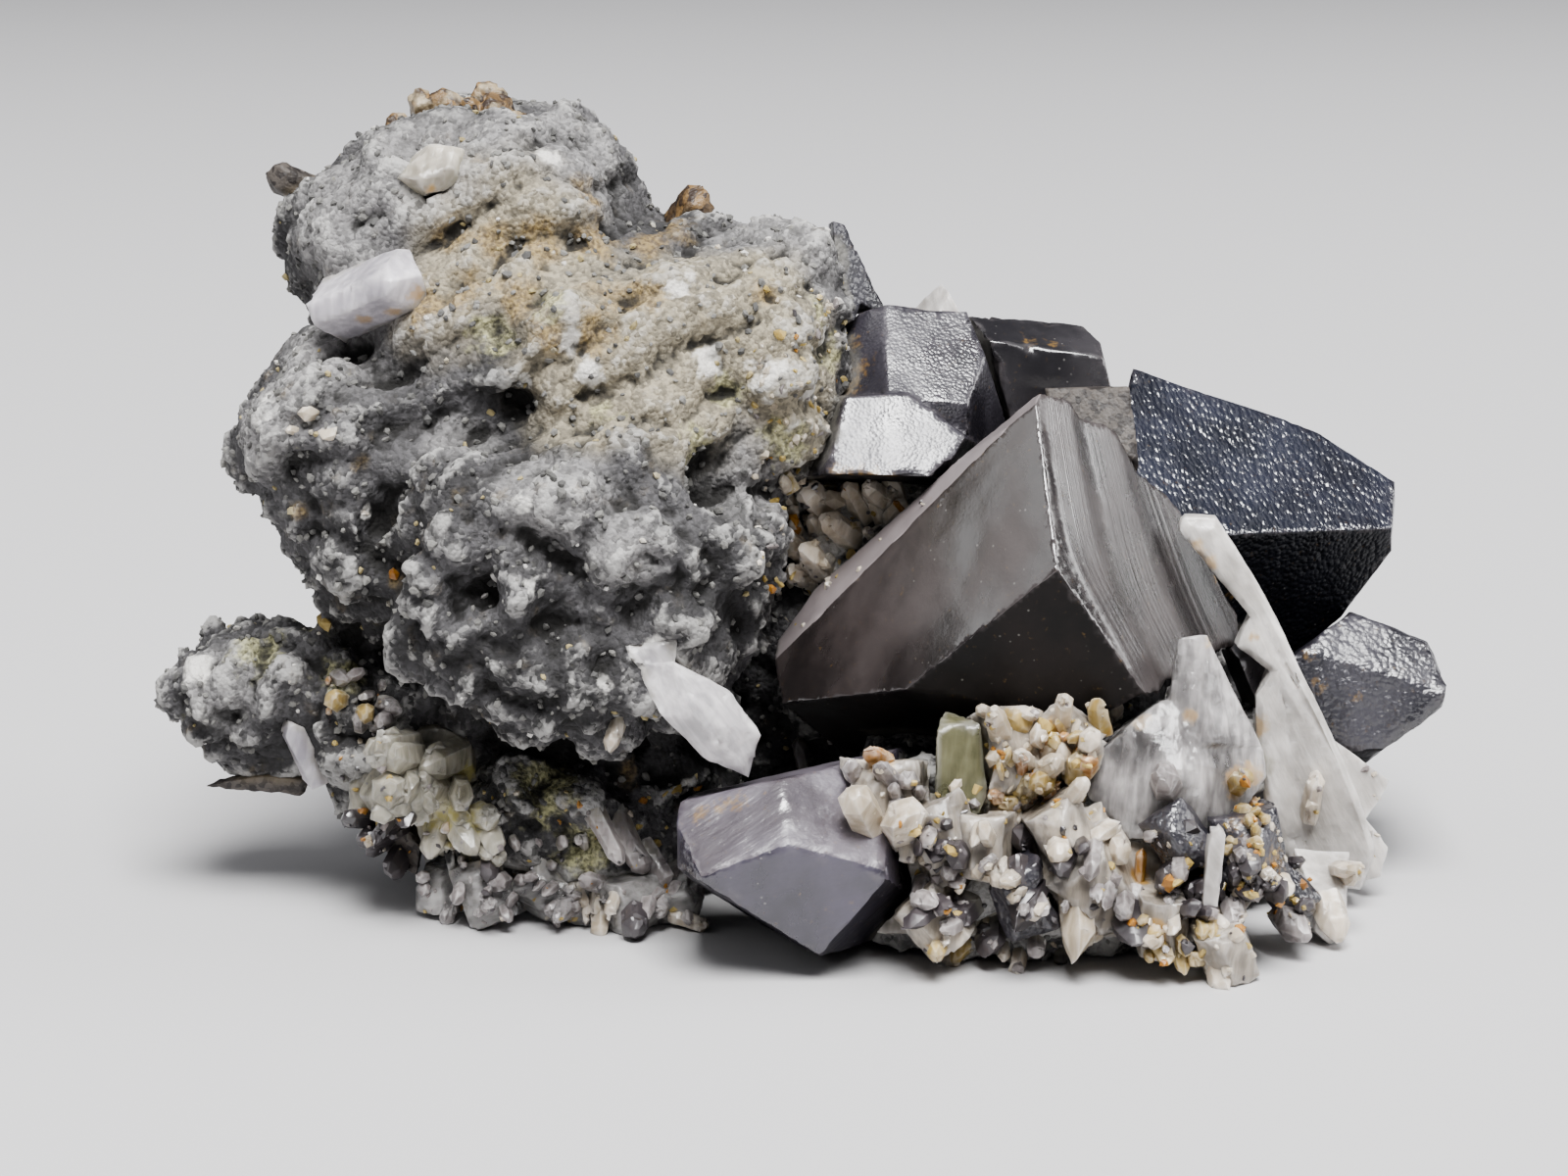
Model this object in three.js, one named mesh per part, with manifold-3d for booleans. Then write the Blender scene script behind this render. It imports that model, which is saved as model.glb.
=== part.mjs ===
// A hand specimen of cassiterite: black crystals and milky quartz on a lump of grey rock.
// Millimetres, +Z up. The show side faces -Y, and +X is to its right. The origin is the middle of
// the outline, on the surface that the specimen rests on.
import * as THREE from 'three';
import { ConvexGeometry } from 'three/addons/geometries/ConvexGeometry.js';
import { ImprovedNoise } from 'three/addons/math/ImprovedNoise.js';
import { mergeVertices } from 'three/addons/utils/BufferGeometryUtils.js';
import Module from 'manifold-3d';

const wasm = await Module();
wasm.setup();
const { Vector3 } = THREE;

// Driving sizes
const SEAT = 0.35; // gap that a crystal keeps to what it sits in
const PIT_SIZE = 4.4; // width of the coarse pits of the rock
const PIT_DEPTH = 1.5;
const KNOB_SIZE = 2.1; // width of the finer knobs between them
const KNOB_DEPTH = 0.9;
const ROUNDNESS = 16; // how sharply a boulder turns its corners
const SAME_POINT = 0.002; // corners closer than this are one
const RIDGE_RISE = 0.72; // share of a growth ridge that rises before it drops

// Colours and finishes
const finish = (color, roughness) => new THREE.MeshStandardMaterial({ color, roughness, metalness: 0 });
const greyRock = finish(0x75766f, 0.9);
const blackCrystal = finish(0x1b191e, 0.2);
const brownCrystal = finish(0x4a3a30, 0.5);
const milkyQuartz = finish(0xdcd9d6, 0.3);
const yellowQuartz = finish(0xc5c19a, 0.25);
const ochreMineral = finish(0xb0702c, 0.7);

const specimen = new THREE.Group();

// The direction that a face looks in: azimuth 0 is towards the viewer and 90 to the right,
// elevation is above the horizon, both in degrees.
const radians = THREE.MathUtils.degToRad;
function look(azimuth, elevation) {
  const a = radians(azimuth);
  const e = radians(elevation);
  return new Vector3(Math.sin(a) * Math.cos(e), -Math.cos(a) * Math.cos(e), Math.sin(e));
}

function solidOf(geometry) {
  const bare = geometry.clone();
  bare.deleteAttribute('normal');
  bare.deleteAttribute('uv');
  const merged = mergeVertices(bare, 1e-4);
  return new wasm.Manifold(new wasm.Mesh({
    numProp: 3,
    vertProperties: merged.attributes.position.array,
    triVerts: new Uint32Array(merged.index.array),
  }));
}

function geometryOf(solid) {
  const mesh = solid.getMesh();
  const geometry = new THREE.BufferGeometry();
  geometry.setAttribute('position', new THREE.BufferAttribute(mesh.vertProperties, 3));
  geometry.setIndex(new THREE.BufferAttribute(mesh.triVerts, 1));
  return geometry;
}

const join = (solids) => solids.reduce((whole, solid) => whole.add(solid));
const largest = (solid) =>
  solid.decompose().reduce((best, piece) => (piece.volume() > best.volume() ? piece : best));

// The corners of the body that a set of faces bounds. Each face is a direction and its distance
// from the middle, and grow moves them all outwards.
function corners(faces, grow) {
  const found = new Map();
  const reach = faces.map((face) => face.distance + grow);
  for (let i = 0; i < faces.length; i += 1) {
    for (let j = i + 1; j < faces.length; j += 1) {
      for (let k = j + 1; k < faces.length; k += 1) {
        const [a, b, c] = [faces[i].normal, faces[j].normal, faces[k].normal];
        const bc = b.clone().cross(c);
        const det = a.dot(bc);
        if (Math.abs(det) < 1e-3) continue;
        const corner = bc.multiplyScalar(reach[i])
          .addScaledVector(c.clone().cross(a), reach[j])
          .addScaledVector(a.clone().cross(b), reach[k])
          .divideScalar(det);
        if (faces.every((face, n) => face.normal.dot(corner) < reach[n] + 1e-4)) {
          found.set(corner.toArray().map((value) => Math.round(value / SAME_POINT)).join(), corner);
        }
      }
    }
  }
  return [...found.values()];
}

// A convex crystal, with the pocket that it leaves in whatever grew around it.
function crystal(middle, faces) {
  const [body, pocket] = [0, SEAT].map((grow) =>
    solidOf(new ConvexGeometry(corners(faces, grow)).translate(...middle)));
  return { body, pocket };
}

// A crystal from its faces, each [azimuth, elevation, distance from the middle].
const hewn = (middle, faces) => crystal(middle, faces.map(([azimuth, elevation, distance]) =>
  ({ normal: look(azimuth, elevation), distance })));

// The faces of the convex body around some points.
function facesAround(points, middle) {
  const position = new ConvexGeometry(points).attributes.position;
  const faces = [];
  for (let i = 0; i < position.count; i += 3) {
    const [a, b, c] = [0, 1, 2].map((k) => new Vector3().fromBufferAttribute(position, i + k));
    const normal = b.sub(a).cross(c.sub(a)).normalize();
    if (faces.every((face) => face.normal.dot(normal) < 0.9999)) {
      faces.push({ normal, distance: normal.dot(a.sub(middle)) });
    }
  }
  return faces;
}

const meanOf = (points) => points.reduce((sum, point) => sum.add(point), new Vector3())
  .divideScalar(points.length);

// A crystal from its corners.
function cornered(list) {
  const points = list.map((corner) => new Vector3(...corner));
  const middle = meanOf(points);
  return crystal(middle.toArray(), facesAround(points, middle));
}

// A prism with a pointed tip that grows from its root towards [azimuth, elevation].
function prism({ root, to, length, width, flat = 1, sides = 6, steep = 50, turn = 0, uneven = 0.12 }) {
  const axis = look(...to);
  const upright = Math.abs(axis.z) > 0.9 ? new Vector3(0, 1, 0) : new Vector3(0, 0, 1);
  const across = upright.cross(axis).normalize();
  const over = axis.clone().cross(across);
  const slope = radians(steep);
  const faces = [{ normal: axis.clone().negate(), distance: length / 2 }];
  for (let i = 0; i < sides; i += 1) {
    const angle = radians(turn) + (i * 2 * Math.PI) / sides;
    const side = across.clone().multiplyScalar(Math.cos(angle))
      .addScaledVector(over, Math.sin(angle) / flat);
    const pressed = side.length();
    side.divideScalar(pressed);
    const share = 1 + uneven * (i % 2 ? 1 : -1);
    faces.push({ normal: side, distance: ((width / 2) * share) / pressed });
    faces.push({
      normal: side.clone().multiplyScalar(Math.sin(slope)).addScaledVector(axis, Math.cos(slope)),
      distance: (length / 2) * Math.cos(slope) * share,
    });
  }
  return crystal(new Vector3(...root).addScaledVector(axis, length / 2).toArray(), faces);
}

const cluster = (crystals) => ({
  body: join(crystals.map(({ body }) => body)),
  pocket: join(crystals.map(({ pocket }) => pocket)),
});

// Each crystal stops against those that grew before it, and against the ground.
const ground = solidOf(new THREE.BoxGeometry(200, 200, 100).translate(0, 0, -50));
let taken = ground;
function grow(name, material, { body, pocket }) {
  const mesh = new THREE.Mesh(geometryOf(largest(body.subtract(taken))), material);
  mesh.name = name;
  specimen.add(mesh);
  taken = taken.add(pocket);
}

// Growth ridges along one face of a crystal.
function striated(plain, middle, [azimuth, elevation, distance], along, pitch, depth) {
  const out = look(azimuth, elevation);
  const run = look(...along).projectOnPlane(out).normalize();
  const side = out.clone().cross(run);
  const reach = 30;
  const comb = new THREE.Shape().moveTo(-reach, -reach);
  for (let x = -reach; x < reach; x += pitch) {
    comb.lineTo(x, -depth).lineTo(x + pitch * RIDGE_RISE, 0);
  }
  comb.lineTo(reach, -reach).closePath();
  const block = new THREE.ExtrudeGeometry(comb, { depth: 2 * reach, bevelEnabled: false });
  block.translate(0, distance, -reach);
  block.applyMatrix4(new THREE.Matrix4().makeBasis(side, out, run).setPosition(...middle));
  return { body: plain.body.intersect(solidOf(block)), pocket: plain.pocket };
}

// Cassiterite on the show side

const mainMiddle = [10.8, -3, 17.5];
const mainRightFace = [58, 26, 5.7];
grow('cassiterite_main', blackCrystal, striated(hewn(mainMiddle, [
  [-42, 26, 3.06],
  mainRightFace,
  [-5, -14, 4.56],
  [-15, -56, 6.1],
  [-111, 30, 8.5],
  [-107, -23, 12.4],
  [-85, 47, 5.7],
  [-160, 35, 6],
  [169, 56, 8.8],
  [155, 38, 9.1],
  [153, 34, 9.5],
  [92, -24, 13],
  [66, -59, 7.9],
  [178, 8, 6.5],
  [10, -70, 7.5],
]), mainMiddle, mainRightFace, [30, -60], 1.25, 0.26));

grow('cassiterite_upper_right', blackCrystal, hewn([25.6, 9, 18.7], [
  [28, 51, 0.47],
  [23, -27, 1.37],
  [109.4, 70.3, 5.37],
  [96, 57, 5.4],
  [158, 40, 7.8],
  [-97.4, 12.6, 8.7],
  [-38, 6, 5.49],
  [80, -1, 6.71],
  [73, -34, 6.33],
  [69, -45, 6.55],
  [180, 0, 9],
  [0, -75, 7.7],
]));

grow('cassiterite_upper_middle', blackCrystal, cluster([
  hewn([6.6, 6, 26.1], [
    [12, 48, 2.33],
    [178, 56, 4.22],
    [94, 20, 4.24],
    [66, 2, 3.83],
    [6, -2, 3.41],
    [-48, 36, 2.8],
    [-85, 10, 5],
    [180, 0, 5.5],
    [0, -80, 4],
  ]),
  hewn([6.6, 6, 26.1], [
    [8, 38, 3.45],
    [97, 53, -0.03],
    [68, -19, 4.64],
    [-4, -76, 4.8],
    [-75, 25, 4.3],
    [-156, 82, 0.03],
    [180, 0, 3],
  ]),
]));

grow('cassiterite_back_ridge', blackCrystal, hewn([13.9, 13, 26.7], [
  [6, 8, 2.45],
  [28, 68, 1.65],
  [-170, 48, 2.05],
  [141, 80, 2.08],
  [93, 45, 2.83],
  [87, 15, 3.23],
  [-72, -13, 3.22],
  [180, 0, 5],
  [0, -75, 5],
]));

grow('cassiterite_brown_step', brownCrystal, hewn([16, 8.4, 23.4], [
  [-5, 30, 5.31],
  [-172, 81, 2.51],
  [95, 3, 1.6],
  [-93, -8, 1.86],
  [180, 0, 3.5],
  [0, -75, 4],
]));

grow('cassiterite_top_blade', blackCrystal, hewn([3.2, 10, 31.2], [
  [48, 12, 1.91],
  [-82, -3, 0.8],
  [133, 26, 0.3],
  [93, -73, 1.6],
  [144, 74, 2.8],
  [200, 10, 3.5],
  [228, 0, 2.2],
]));

grow('cassiterite_lower_right', blackCrystal, hewn([31.2, 8, 9.8], [
  [-4, 6, 3.93],
  [11, 46, 3.8],
  [113, 67, 3.35],
  [87, 29, 3.88],
  [64, -49, 3.18],
  [-114, 50, 3.68],
  [76, -16, 4.05],
  [90, 0, 3.7],
  [0, -60, 4.2],
  [180, 10, 6.5],
  [-90, 0, 7],
]));

grow('cassiterite_front', blackCrystal, hewn([0.9, -9, 5.2], [
  [4, -8, 4.4],
  [-25, 48, 4.66],
  [28, 50, 4.11],
  [-37, -51, 4.71],
  [-63, -54, 3.7],
  [56, -36, 4.55],
  [-66, 0, 6.43],
  [-95, 0, 5.9],
  [80, 10, 4.7],
  [-134, 72, 4.11],
  [180, 0, 6],
  [0, -82, 4.4],
]));

grow('cassiterite_small', blackCrystal, cornered([
  [22.7, 0.5, 13.9], [25.2, 0.5, 13.9], [24.4, -0.4, 10.6], [23.2, -1, 13.4],
  [22.5, 3.5, 13.5], [25.6, 3.5, 13.5], [24, 3.5, 10],
]));

grow('cassiterite_foot', brownCrystal, cornered([
  [-22.8, 0.2, 6.4], [-20.6, -1.2, 6.2], [-18.6, -2.4, 3.8], [-18.9, -1.6, 2], [-20.4, 0, 2.6],
  [-21.6, 3, 6.5], [-18.5, 3, 5.5], [-19, 3, 2.4],
]));

// Quartz on the show side

// The curved blade: its outline down the left edge and up the right one. It thickens downwards
// and bows towards the viewer.
const bladeTop = 20.6;
const bladeThickness = [1.1, 2.8]; // at the top and at the foot
const bladeBow = 1.6;
const bladePlace = 0.6; // how far behind y = 0 its ends stand
const plateDepth = 1; // the flat plate that is bent into the blade, and its bevels
const plateBevel = 0.2;
const plateRim = 0.35;
const bladeOutline = new THREE.Shape().moveTo(20.3, bladeTop);
bladeOutline.lineTo(20.1, 19.9).lineTo(23.7, 15.6).lineTo(23, 14.1).lineTo(24.7, 12.9)
  .lineTo(24, 11.6).lineTo(24.3, 7.6).lineTo(25.2, 3.4).lineTo(27, 1.4).lineTo(30, 1)
  .lineTo(30.5, 3.4);
bladeOutline.quadraticCurveTo(28.7, 8.6, 26.5, 12.5).quadraticCurveTo(24.6, 16.9, 22, 20.5).closePath();
function blade(extra) {
  const plate = new THREE.ExtrudeGeometry(bladeOutline, {
    depth: plateDepth,
    bevelThickness: plateBevel,
    bevelSize: plateRim,
    bevelOffset: extra - plateRim,
    bevelSegments: 1,
    curveSegments: 4,
  });
  plate.translate(0, 0, -plateDepth / 2).rotateX(Math.PI / 2);
  const position = plate.attributes.position;
  for (let i = 0; i < position.count; i += 1) {
    const down = 1 - position.getZ(i) / bladeTop;
    const thickness = THREE.MathUtils.lerp(...bladeThickness, down) + 2 * extra;
    const bow = -bladeBow * Math.sin(Math.PI * down);
    const share = position.getY(i) / (plateDepth + 2 * plateBevel);
    position.setY(i, share * thickness + bow + bladePlace);
  }
  return solidOf(plate);
}
grow('quartz_blade', milkyQuartz, { body: blade(0), pocket: blade(SEAT) });

grow('quartz_point', milkyQuartz, cluster([
  cornered([
    [19.5, -6.5, 15.8], [20.9, -6.2, 15.9], [20.3, -5.2, 15.4], [19.2, -7.2, 13.8], [18.6, -8, 9],
    [21, -8.6, 11], [23.8, -6.4, 10.2], [23.4, -3, 9], [18.6, -3, 9],
  ]),
  cornered([
    [18.6, -7.5, 12.8], [21.4, -7, 12.6], [17.2, -8, 11.9], [15.8, -8.3, 10.6], [14.8, -8.8, 8.4],
    [19.4, -9.7, 9.6], [17, -9.6, 6.3], [22.2, -8.6, 6.4], [24, -6.8, 8.8], [23.8, -6.4, 10.2],
    [15.4, -4, 9.6], [19, -3, 11.8], [23.6, -3, 9.4], [22, -3, 6], [16, -3, 6],
  ]),
]));

grow('quartz_right_teeth', milkyQuartz, cluster([
  cornered([
    [28, 1.6, 8.9], [31.7, 2.2, 6.1], [30.4, 1.6, 4.2], [27.8, 1.4, 5], [28, 4, 8.5], [31, 3.4, 6],
    [28, 4, 4.6],
  ]),
  cornered([
    [30, 1.3, 4.8], [31.5, 1.2, 2.8], [31.2, 1.2, 1.2], [28.6, 1.2, 0.5], [28.4, 3.5, 5.5],
    [31, 3, 2.6], [28.6, 4, 0.9],
  ]),
]));

grow('quartz_right_foot', milkyQuartz, cornered([
  [26.7, -6.6, 2.2], [28.2, -6.2, 2.2], [28.2, -6.4, 0.4], [27.4, -6.8, 0], [26.6, -7, 0.8],
  [26, -3, 4], [28.8, -3, 3.8], [28.6, -3, 0.6], [26, -3, 0.3],
]));

grow('quartz_lens', milkyQuartz, cluster([
  cornered([
    [-7.3, -9, 15], [-5.4, -9.6, 15.3], [-2.6, -9.4, 13.8], [-1.1, -8.8, 11.4], [-1.7, -8.8, 9.2],
    [-3.8, -9.6, 10.4], [-6, -9.8, 12.6], [-4, -10.6, 12.6], [-5.5, -6, 14.3], [-2, -5, 10.5],
  ]),
  cornered([
    [-7.9, -8.8, 16], [-5.2, -8.8, 16.2], [-5.3, -9.2, 14.9], [-7.5, -9.2, 15], [-6.5, -6, 15.6],
  ]),
]));

grow('quartz_top_long', milkyQuartz, prism({
  root: [-22.9, 0.8, 31], to: [62, 22], length: 6.4, width: 3.3, flat: 0.9, steep: 40,
}));

grow('quartz_top_small', milkyQuartz, prism({
  root: [-18.6, 4.8, 36.8], to: [22, 20], length: 5, width: 2.8, sides: 5, steep: 38,
}));

grow('quartz_sliver', milkyQuartz, prism({
  root: [-24.1, 0.5, 6.5], to: [-62, 66], length: 4.2, width: 1.2, sides: 4, turn: 20,
}));

const yellowFan = [[-14, 14, 5.6], [-60, -12, 4.8], [34, -24, 5], [40, 44, 4.8]];
grow('quartz_yellow_cluster', yellowQuartz, cluster(yellowFan.map(([azimuth, elevation, length], i) =>
  prism({
    root: [-18.5, 0.4, 6.5], to: [azimuth, elevation], length, width: 3.6, sides: 5, steep: 40, turn: 17 * i,
  }))));

// The clear crust along the low left edge
const footBed = cornered([
  [-18.4, -1, 2.6], [-17.2, -2.2, 2.2], [-12, -3.2, 1.6], [-6.4, -3.4, 0.8], [-6.4, 0, 0.8],
  [-18.2, 1, 1], [-6.6, 0, 2.6], [-17.6, 1, 3],
]);
const footRow = Array.from({ length: 6 }, (_, i) => prism({
  root: [-16.9 + 2 * i, -0.8 - 0.3 * i, 1.4 - 0.05 * i],
  to: [-46 + 17 * i + 20 * (i % 3), 4 + 8 * (i % 3) - 2 * i],
  length: 2.6 + 0.6 * ((i * 5) % 3),
  width: 2.2 + 0.4 * ((i * 2) % 3),
  sides: 4,
  steep: 30,
  turn: 23 * i,
}));
grow('quartz_foot', milkyQuartz, cluster([footBed, ...footRow]));

grow('quartz_olive', yellowQuartz, cornered([
  [7.5, -9.2, 12], [9.6, -8.8, 12], [10, -9.4, 8.6], [9.3, -10, 7], [7.7, -10, 7.2], [7.4, -9.8, 9],
  [8, -6, 12], [10, -6, 8], [7.6, -6, 8],
]));

// Small crystals that crowd the front ledge, pale ones and dark ones between them
const ledgeBed = cornered([
  [3.4, -6, 9], [16.6, -6, 9], [23, -6, 5.6], [23.4, -8.8, 3.4], [21.6, -10.2, 1.2], [3.4, -9.6, 1.6],
  [3.4, -8.8, 6.6], [16, -9.4, 6], [4, -5, 2], [23, -6, 1.6],
]);
const palePrisms = [
  { root: [5.2, -7, 7.2], to: [-12, 14], length: 5, width: 4.4, steep: 30 },
  { root: [7, -6.8, 6.4], to: [16, 4], length: 5.2, width: 3.6, turn: 25, steep: 32 },
  { root: [11.4, -5.4, 8.6], to: [-10, 32], length: 5, width: 3.8, turn: 12, steep: 34 },
  { root: [13.8, -5, 8.8], to: [12, 38], length: 5.2, width: 3.6, turn: 40, steep: 38 },
  { root: [10.6, -8, 6], to: [-20, 6], length: 4.4, width: 2.8, steep: 34 },
  { root: [13.6, -8, 6.4], to: [4, 8], length: 4.6, width: 3.2, turn: 30, steep: 34 },
  { root: [15.2, -8, 5.8], to: [-2, -28], length: 6.2, width: 4, turn: 30, steep: 44 },
  { root: [18, -8.6, 3], to: [8, -6], length: 5, width: 2.6, steep: 36 },
  { root: [21.2, -8.8, 2.5], to: [4, -16], length: 5.6, width: 2.8, turn: 20, steep: 38 },
  { root: [8, -8, 3], to: [-12, -8], length: 5, width: 2.8, turn: 40, steep: 36 },
];
grow('quartz_front_druse', milkyQuartz,
  cluster([ledgeBed, ...palePrisms.map((place) => prism({ sides: 4, ...place }))]));

const darkPrisms = [
  { root: [19.6, -8, 6.2], to: [-8, 10], length: 4.4, width: 3, turn: 35 },
  { root: [22.6, -7.4, 5.4], to: [6, 6], length: 4.8, width: 3.8, turn: 10 },
  { root: [21, -8, 3.8], to: [-2, -6], length: 4.4, width: 2.6, turn: 28 },
  { root: [24.8, -5.8, 3.2], to: [12, -8], length: 3.2, width: 2.4, turn: 44 },
];
grow('cassiterite_front_druse', blackCrystal,
  cluster(darkPrisms.map((place) => prism({ sides: 4, steep: 42, ...place }))));

grow('cassiterite_front_small', blackCrystal,
  prism({ root: [12.2, -8.4, 4.6], to: [-10, -12], length: 5.2, width: 3.2, sides: 4, turn: 20, steep: 40 }));

grow('quartz_needle', milkyQuartz, prism({
  root: [20.6, -12.4, 3.9], to: [30, 82], length: 4.4, width: 0.9, sides: 4, steep: 40,
}));

grow('quartz_back_spike', milkyQuartz, prism({
  root: [7.86, 17.73, 21.1], to: [20, 74], length: 10.2, width: 3.8, sides: 4, turn: 20, steep: 62,
}));

// Coloured crystals along the outline

const goldBed = cornered([
  [-20.4, 8, 38.6], [-13.6, 8, 40], [-20.4, 12, 38.6], [-13.6, 12, 40], [-17, 8.4, 40.7],
  [-17, 11.6, 40.7], [-18, 9, 37.5], [-15, 11, 38],
]);
const goldRow = Array.from({ length: 7 }, (_, i) => prism({
  root: [-19.7 + 0.96 * i, 8.9 + 0.6 * ((i * 2) % 3), 39.1 + 0.9 * Math.sin(0.51 * i)],
  to: [-60 + 47 * (i % 5), 52 + 11 * (i % 3)],
  length: 1.5 + 0.35 * ((i * 2) % 3),
  width: 1.1 + 0.25 * (i % 3),
  sides: 4,
  steep: 40,
  turn: 31 * i,
}));
grow('golden_crust', ochreMineral, cluster([goldBed, ...goldRow]));

grow('brown_spur', brownCrystal, prism({
  root: [-24.6, 9.6, 36], to: [-82, 24], length: 3, width: 1.5, sides: 5, steep: 50,
}));

grow('ochre_spur', ochreMineral, prism({
  root: [-5.6, 9, 34.2], to: [52, 46], length: 3.2, width: 1.8, sides: 5, steep: 46,
}));

grow('brown_flake', brownCrystal, cornered([
  [-30.3, 1.6, 6], [-27.6, 1.2, 6.6], [-24.6, 1.6, 6.4], [-25, 1.8, 5.4], [-28, 1.8, 5.7],
  [-25.4, 4, 6.9], [-28, 3, 6.6],
]));

// Cassiterite and quartz on the back

grow('cassiterite_back_left', blackCrystal, cluster([
  prism({ root: [-11, 12, 20], to: [200, 16], length: 14, width: 11, sides: 4, turn: 18, steep: 46 }),
  prism({ root: [-4, 12, 16], to: [168, -6], length: 12, width: 8, sides: 4, turn: 40, steep: 48 }),
]));

grow('cassiterite_back_right', blackCrystal, prism({
  root: [17, 11, 9.6], to: [160, 12], length: 13, width: 11, sides: 4, turn: 30, steep: 44,
}));

const backFan = [[180, 6, 6.4], [212, -12, 5.6], [150, 22, 6], [196, 30, 5.4]];
grow('quartz_back', milkyQuartz, cluster(backFan.map(([azimuth, elevation, length], i) => prism({
  root: [5, 14.6, 6.4], to: [azimuth, elevation], length: length + 2.4, width: 3.8, sides: 5, steep: 46,
  turn: 29 * i,
}))));

// Rock: broken boulders with coarse pits and finer knobs. Each is drawn by its rim, as seen from
// the front, and reaches from near to far.

const noise = new ImprovedNoise();
const ripple = (p, size, shift) => noise.noise(p.x / size + shift, p.y / size + shift, p.z / size);

function boulder({ rim, near, far, detail, inset = 0.68 }) {
  const rimDepth = (near + far) / 2;
  const flatMiddle = meanOf(rim.map(([x, z]) => new Vector3(x, rimDepth, z)));
  const points = rim.flatMap(([x, z]) => {
    const edge = new Vector3(x, rimDepth, z);
    const face = flatMiddle.clone().lerp(edge, inset);
    return [edge, face.clone().setY(near), face.setY(far)];
  });
  const faces = facesAround(points, flatMiddle);
  const ball = new THREE.IcosahedronGeometry(1, detail);
  ball.deleteAttribute('normal');
  ball.deleteAttribute('uv');
  const geometry = mergeVertices(ball, 1e-4);
  const position = geometry.attributes.position;
  for (let i = 0; i < position.count; i += 1) {
    const out = new Vector3().fromBufferAttribute(position, i).normalize();
    const pull = faces.reduce((sum, face) =>
      sum + Math.max(0, face.normal.dot(out) / face.distance) ** ROUNDNESS, 0);
    const reach = pull ** (-1 / ROUNDNESS);
    const point = flatMiddle.clone().addScaledVector(out, reach);
    const relief = PIT_DEPTH * ripple(point, PIT_SIZE, 3.3) + KNOB_DEPTH * ripple(point, KNOB_SIZE, 7.7);
    point.addScaledVector(out, relief);
    position.setXYZ(i, point.x, point.y, point.z);
  }
  return solidOf(geometry);
}

const boulders = [
  // the top, the left flank, the shoulder on the right and what lies between them
  { rim: [[-26.8, 36.4], [-23.4, 38.3], [-19.8, 40.8], [-14.4, 41.9], [-10.6, 41], [-6.6, 36],
    [-4.5, 25], [-15.7, 22], [-25, 25], [-26.4, 30]], near: 0.5, far: 18, detail: 3 },
  { rim: [[-25.2, 31], [-28.2, 26], [-28.8, 22.8], [-27.8, 19.7], [-25.8, 17.4], [-22, 13.4],
    [-12, 13.5], [-10, 21], [-12, 30]], near: -4.6, far: 13, detail: 2 },
  { rim: [[-12, 35.4], [-5, 35.8], [2.8, 34.8], [3.8, 31], [3.8, 25.9], [2.3, 21], [-4, 16.5],
    [-14, 20.7]], near: -2.4, far: 16, detail: 3 },
  { rim: [[-23, 33], [-16, 36.5], [-7, 34.5], [-1, 31], [1.6, 26], [0, 20], [-10, 17], [-20, 18],
    [-24.5, 26]], near: -3.6, far: 12, detail: 3 },
  // the bulge at the front
  { rim: [[-21, 24], [-15.7, 26.5], [-8.8, 27], [-2.4, 25], [1.3, 20.4], [0.2, 15.3], [-1, 10.7],
    [-5, 8.2], [-12, 8.2], [-18.2, 10.2], [-21.6, 15.3]], near: -9.4, far: 9, detail: 3 },
  // the lobe on the left, the neck from it and the foot
  { rim: [[-32.6, 11.6], [-31, 14.2], [-27.5, 14.8], [-21, 14.4], [-21, 6], [-28.7, 6.4],
    [-31.8, 8.7]], near: -0.6, far: 7.4, detail: 2 },
  { rim: [[-26, 14.2], [-13, 14.2], [-11, 2.6], [-20.7, 1.9], [-24.4, 5], [-26.4, 8.9]],
    near: -2.4, far: 11, detail: 2 },
  { rim: [[-21.2, 4.7], [-19, 1.6], [-17.5, -1], [-3, -1], [-2, 9.4], [-18.7, 9.6]],
    near: -3.8, far: 12, detail: 2 },
  // the front ledge and its right end
  { rim: [[-1.9, 6.2], [2.9, 9.4], [9.7, 9.4], [19.4, 7.4], [24.6, 5.4], [25.2, 0.6], [22, -1.4],
    [2, -1]], near: -10.4, far: 2, detail: 2, inset: 0.84 },
  { rim: [[13, 10], [20, 11], [26, 10.5], [28.4, 6.8], [28.8, 2.1], [27.6, -1], [13, -1.6]],
    near: -2.6, far: 11, detail: 2 },
  // what lies behind the crystals
  { rim: [[-8, 24], [2, 25], [8, 20], [17, 21], [26, 14], [28, 8], [28, 2], [26, -1], [-6, -1],
    [-10, 9.6]], near: 3, far: 18, detail: 2 },
  { rim: [[-6, -1], [-21, 8], [-21, 20], [-16, 30], [-6, 34], [2, 32], [9, 24], [9, 6], [4, -1]],
    near: 5, far: 21, detail: 2, inset: 0.6 },
  { rim: [[0, 0], [-2, 14], [4, 26], [12, 27], [21, 18], [25, 8], [22, -1], [8, -1]],
    near: 5, far: 19.5, detail: 2, inset: 0.6 },
];

grow('matrix', greyRock, { body: join(boulders.map(boulder)), pocket: ground });

// The origin goes under the middle of the outline.
const outline = new THREE.Box3().setFromObject(specimen);
const centre = outline.getCenter(new Vector3());
specimen.position.set(-centre.x, -centre.y, -outline.min.z);

export default specimen;
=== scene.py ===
import math

import bmesh
import bpy
import numpy as np
from mathutils import Matrix, Vector, noise
from mathutils.bvhtree import BVHTree


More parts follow.
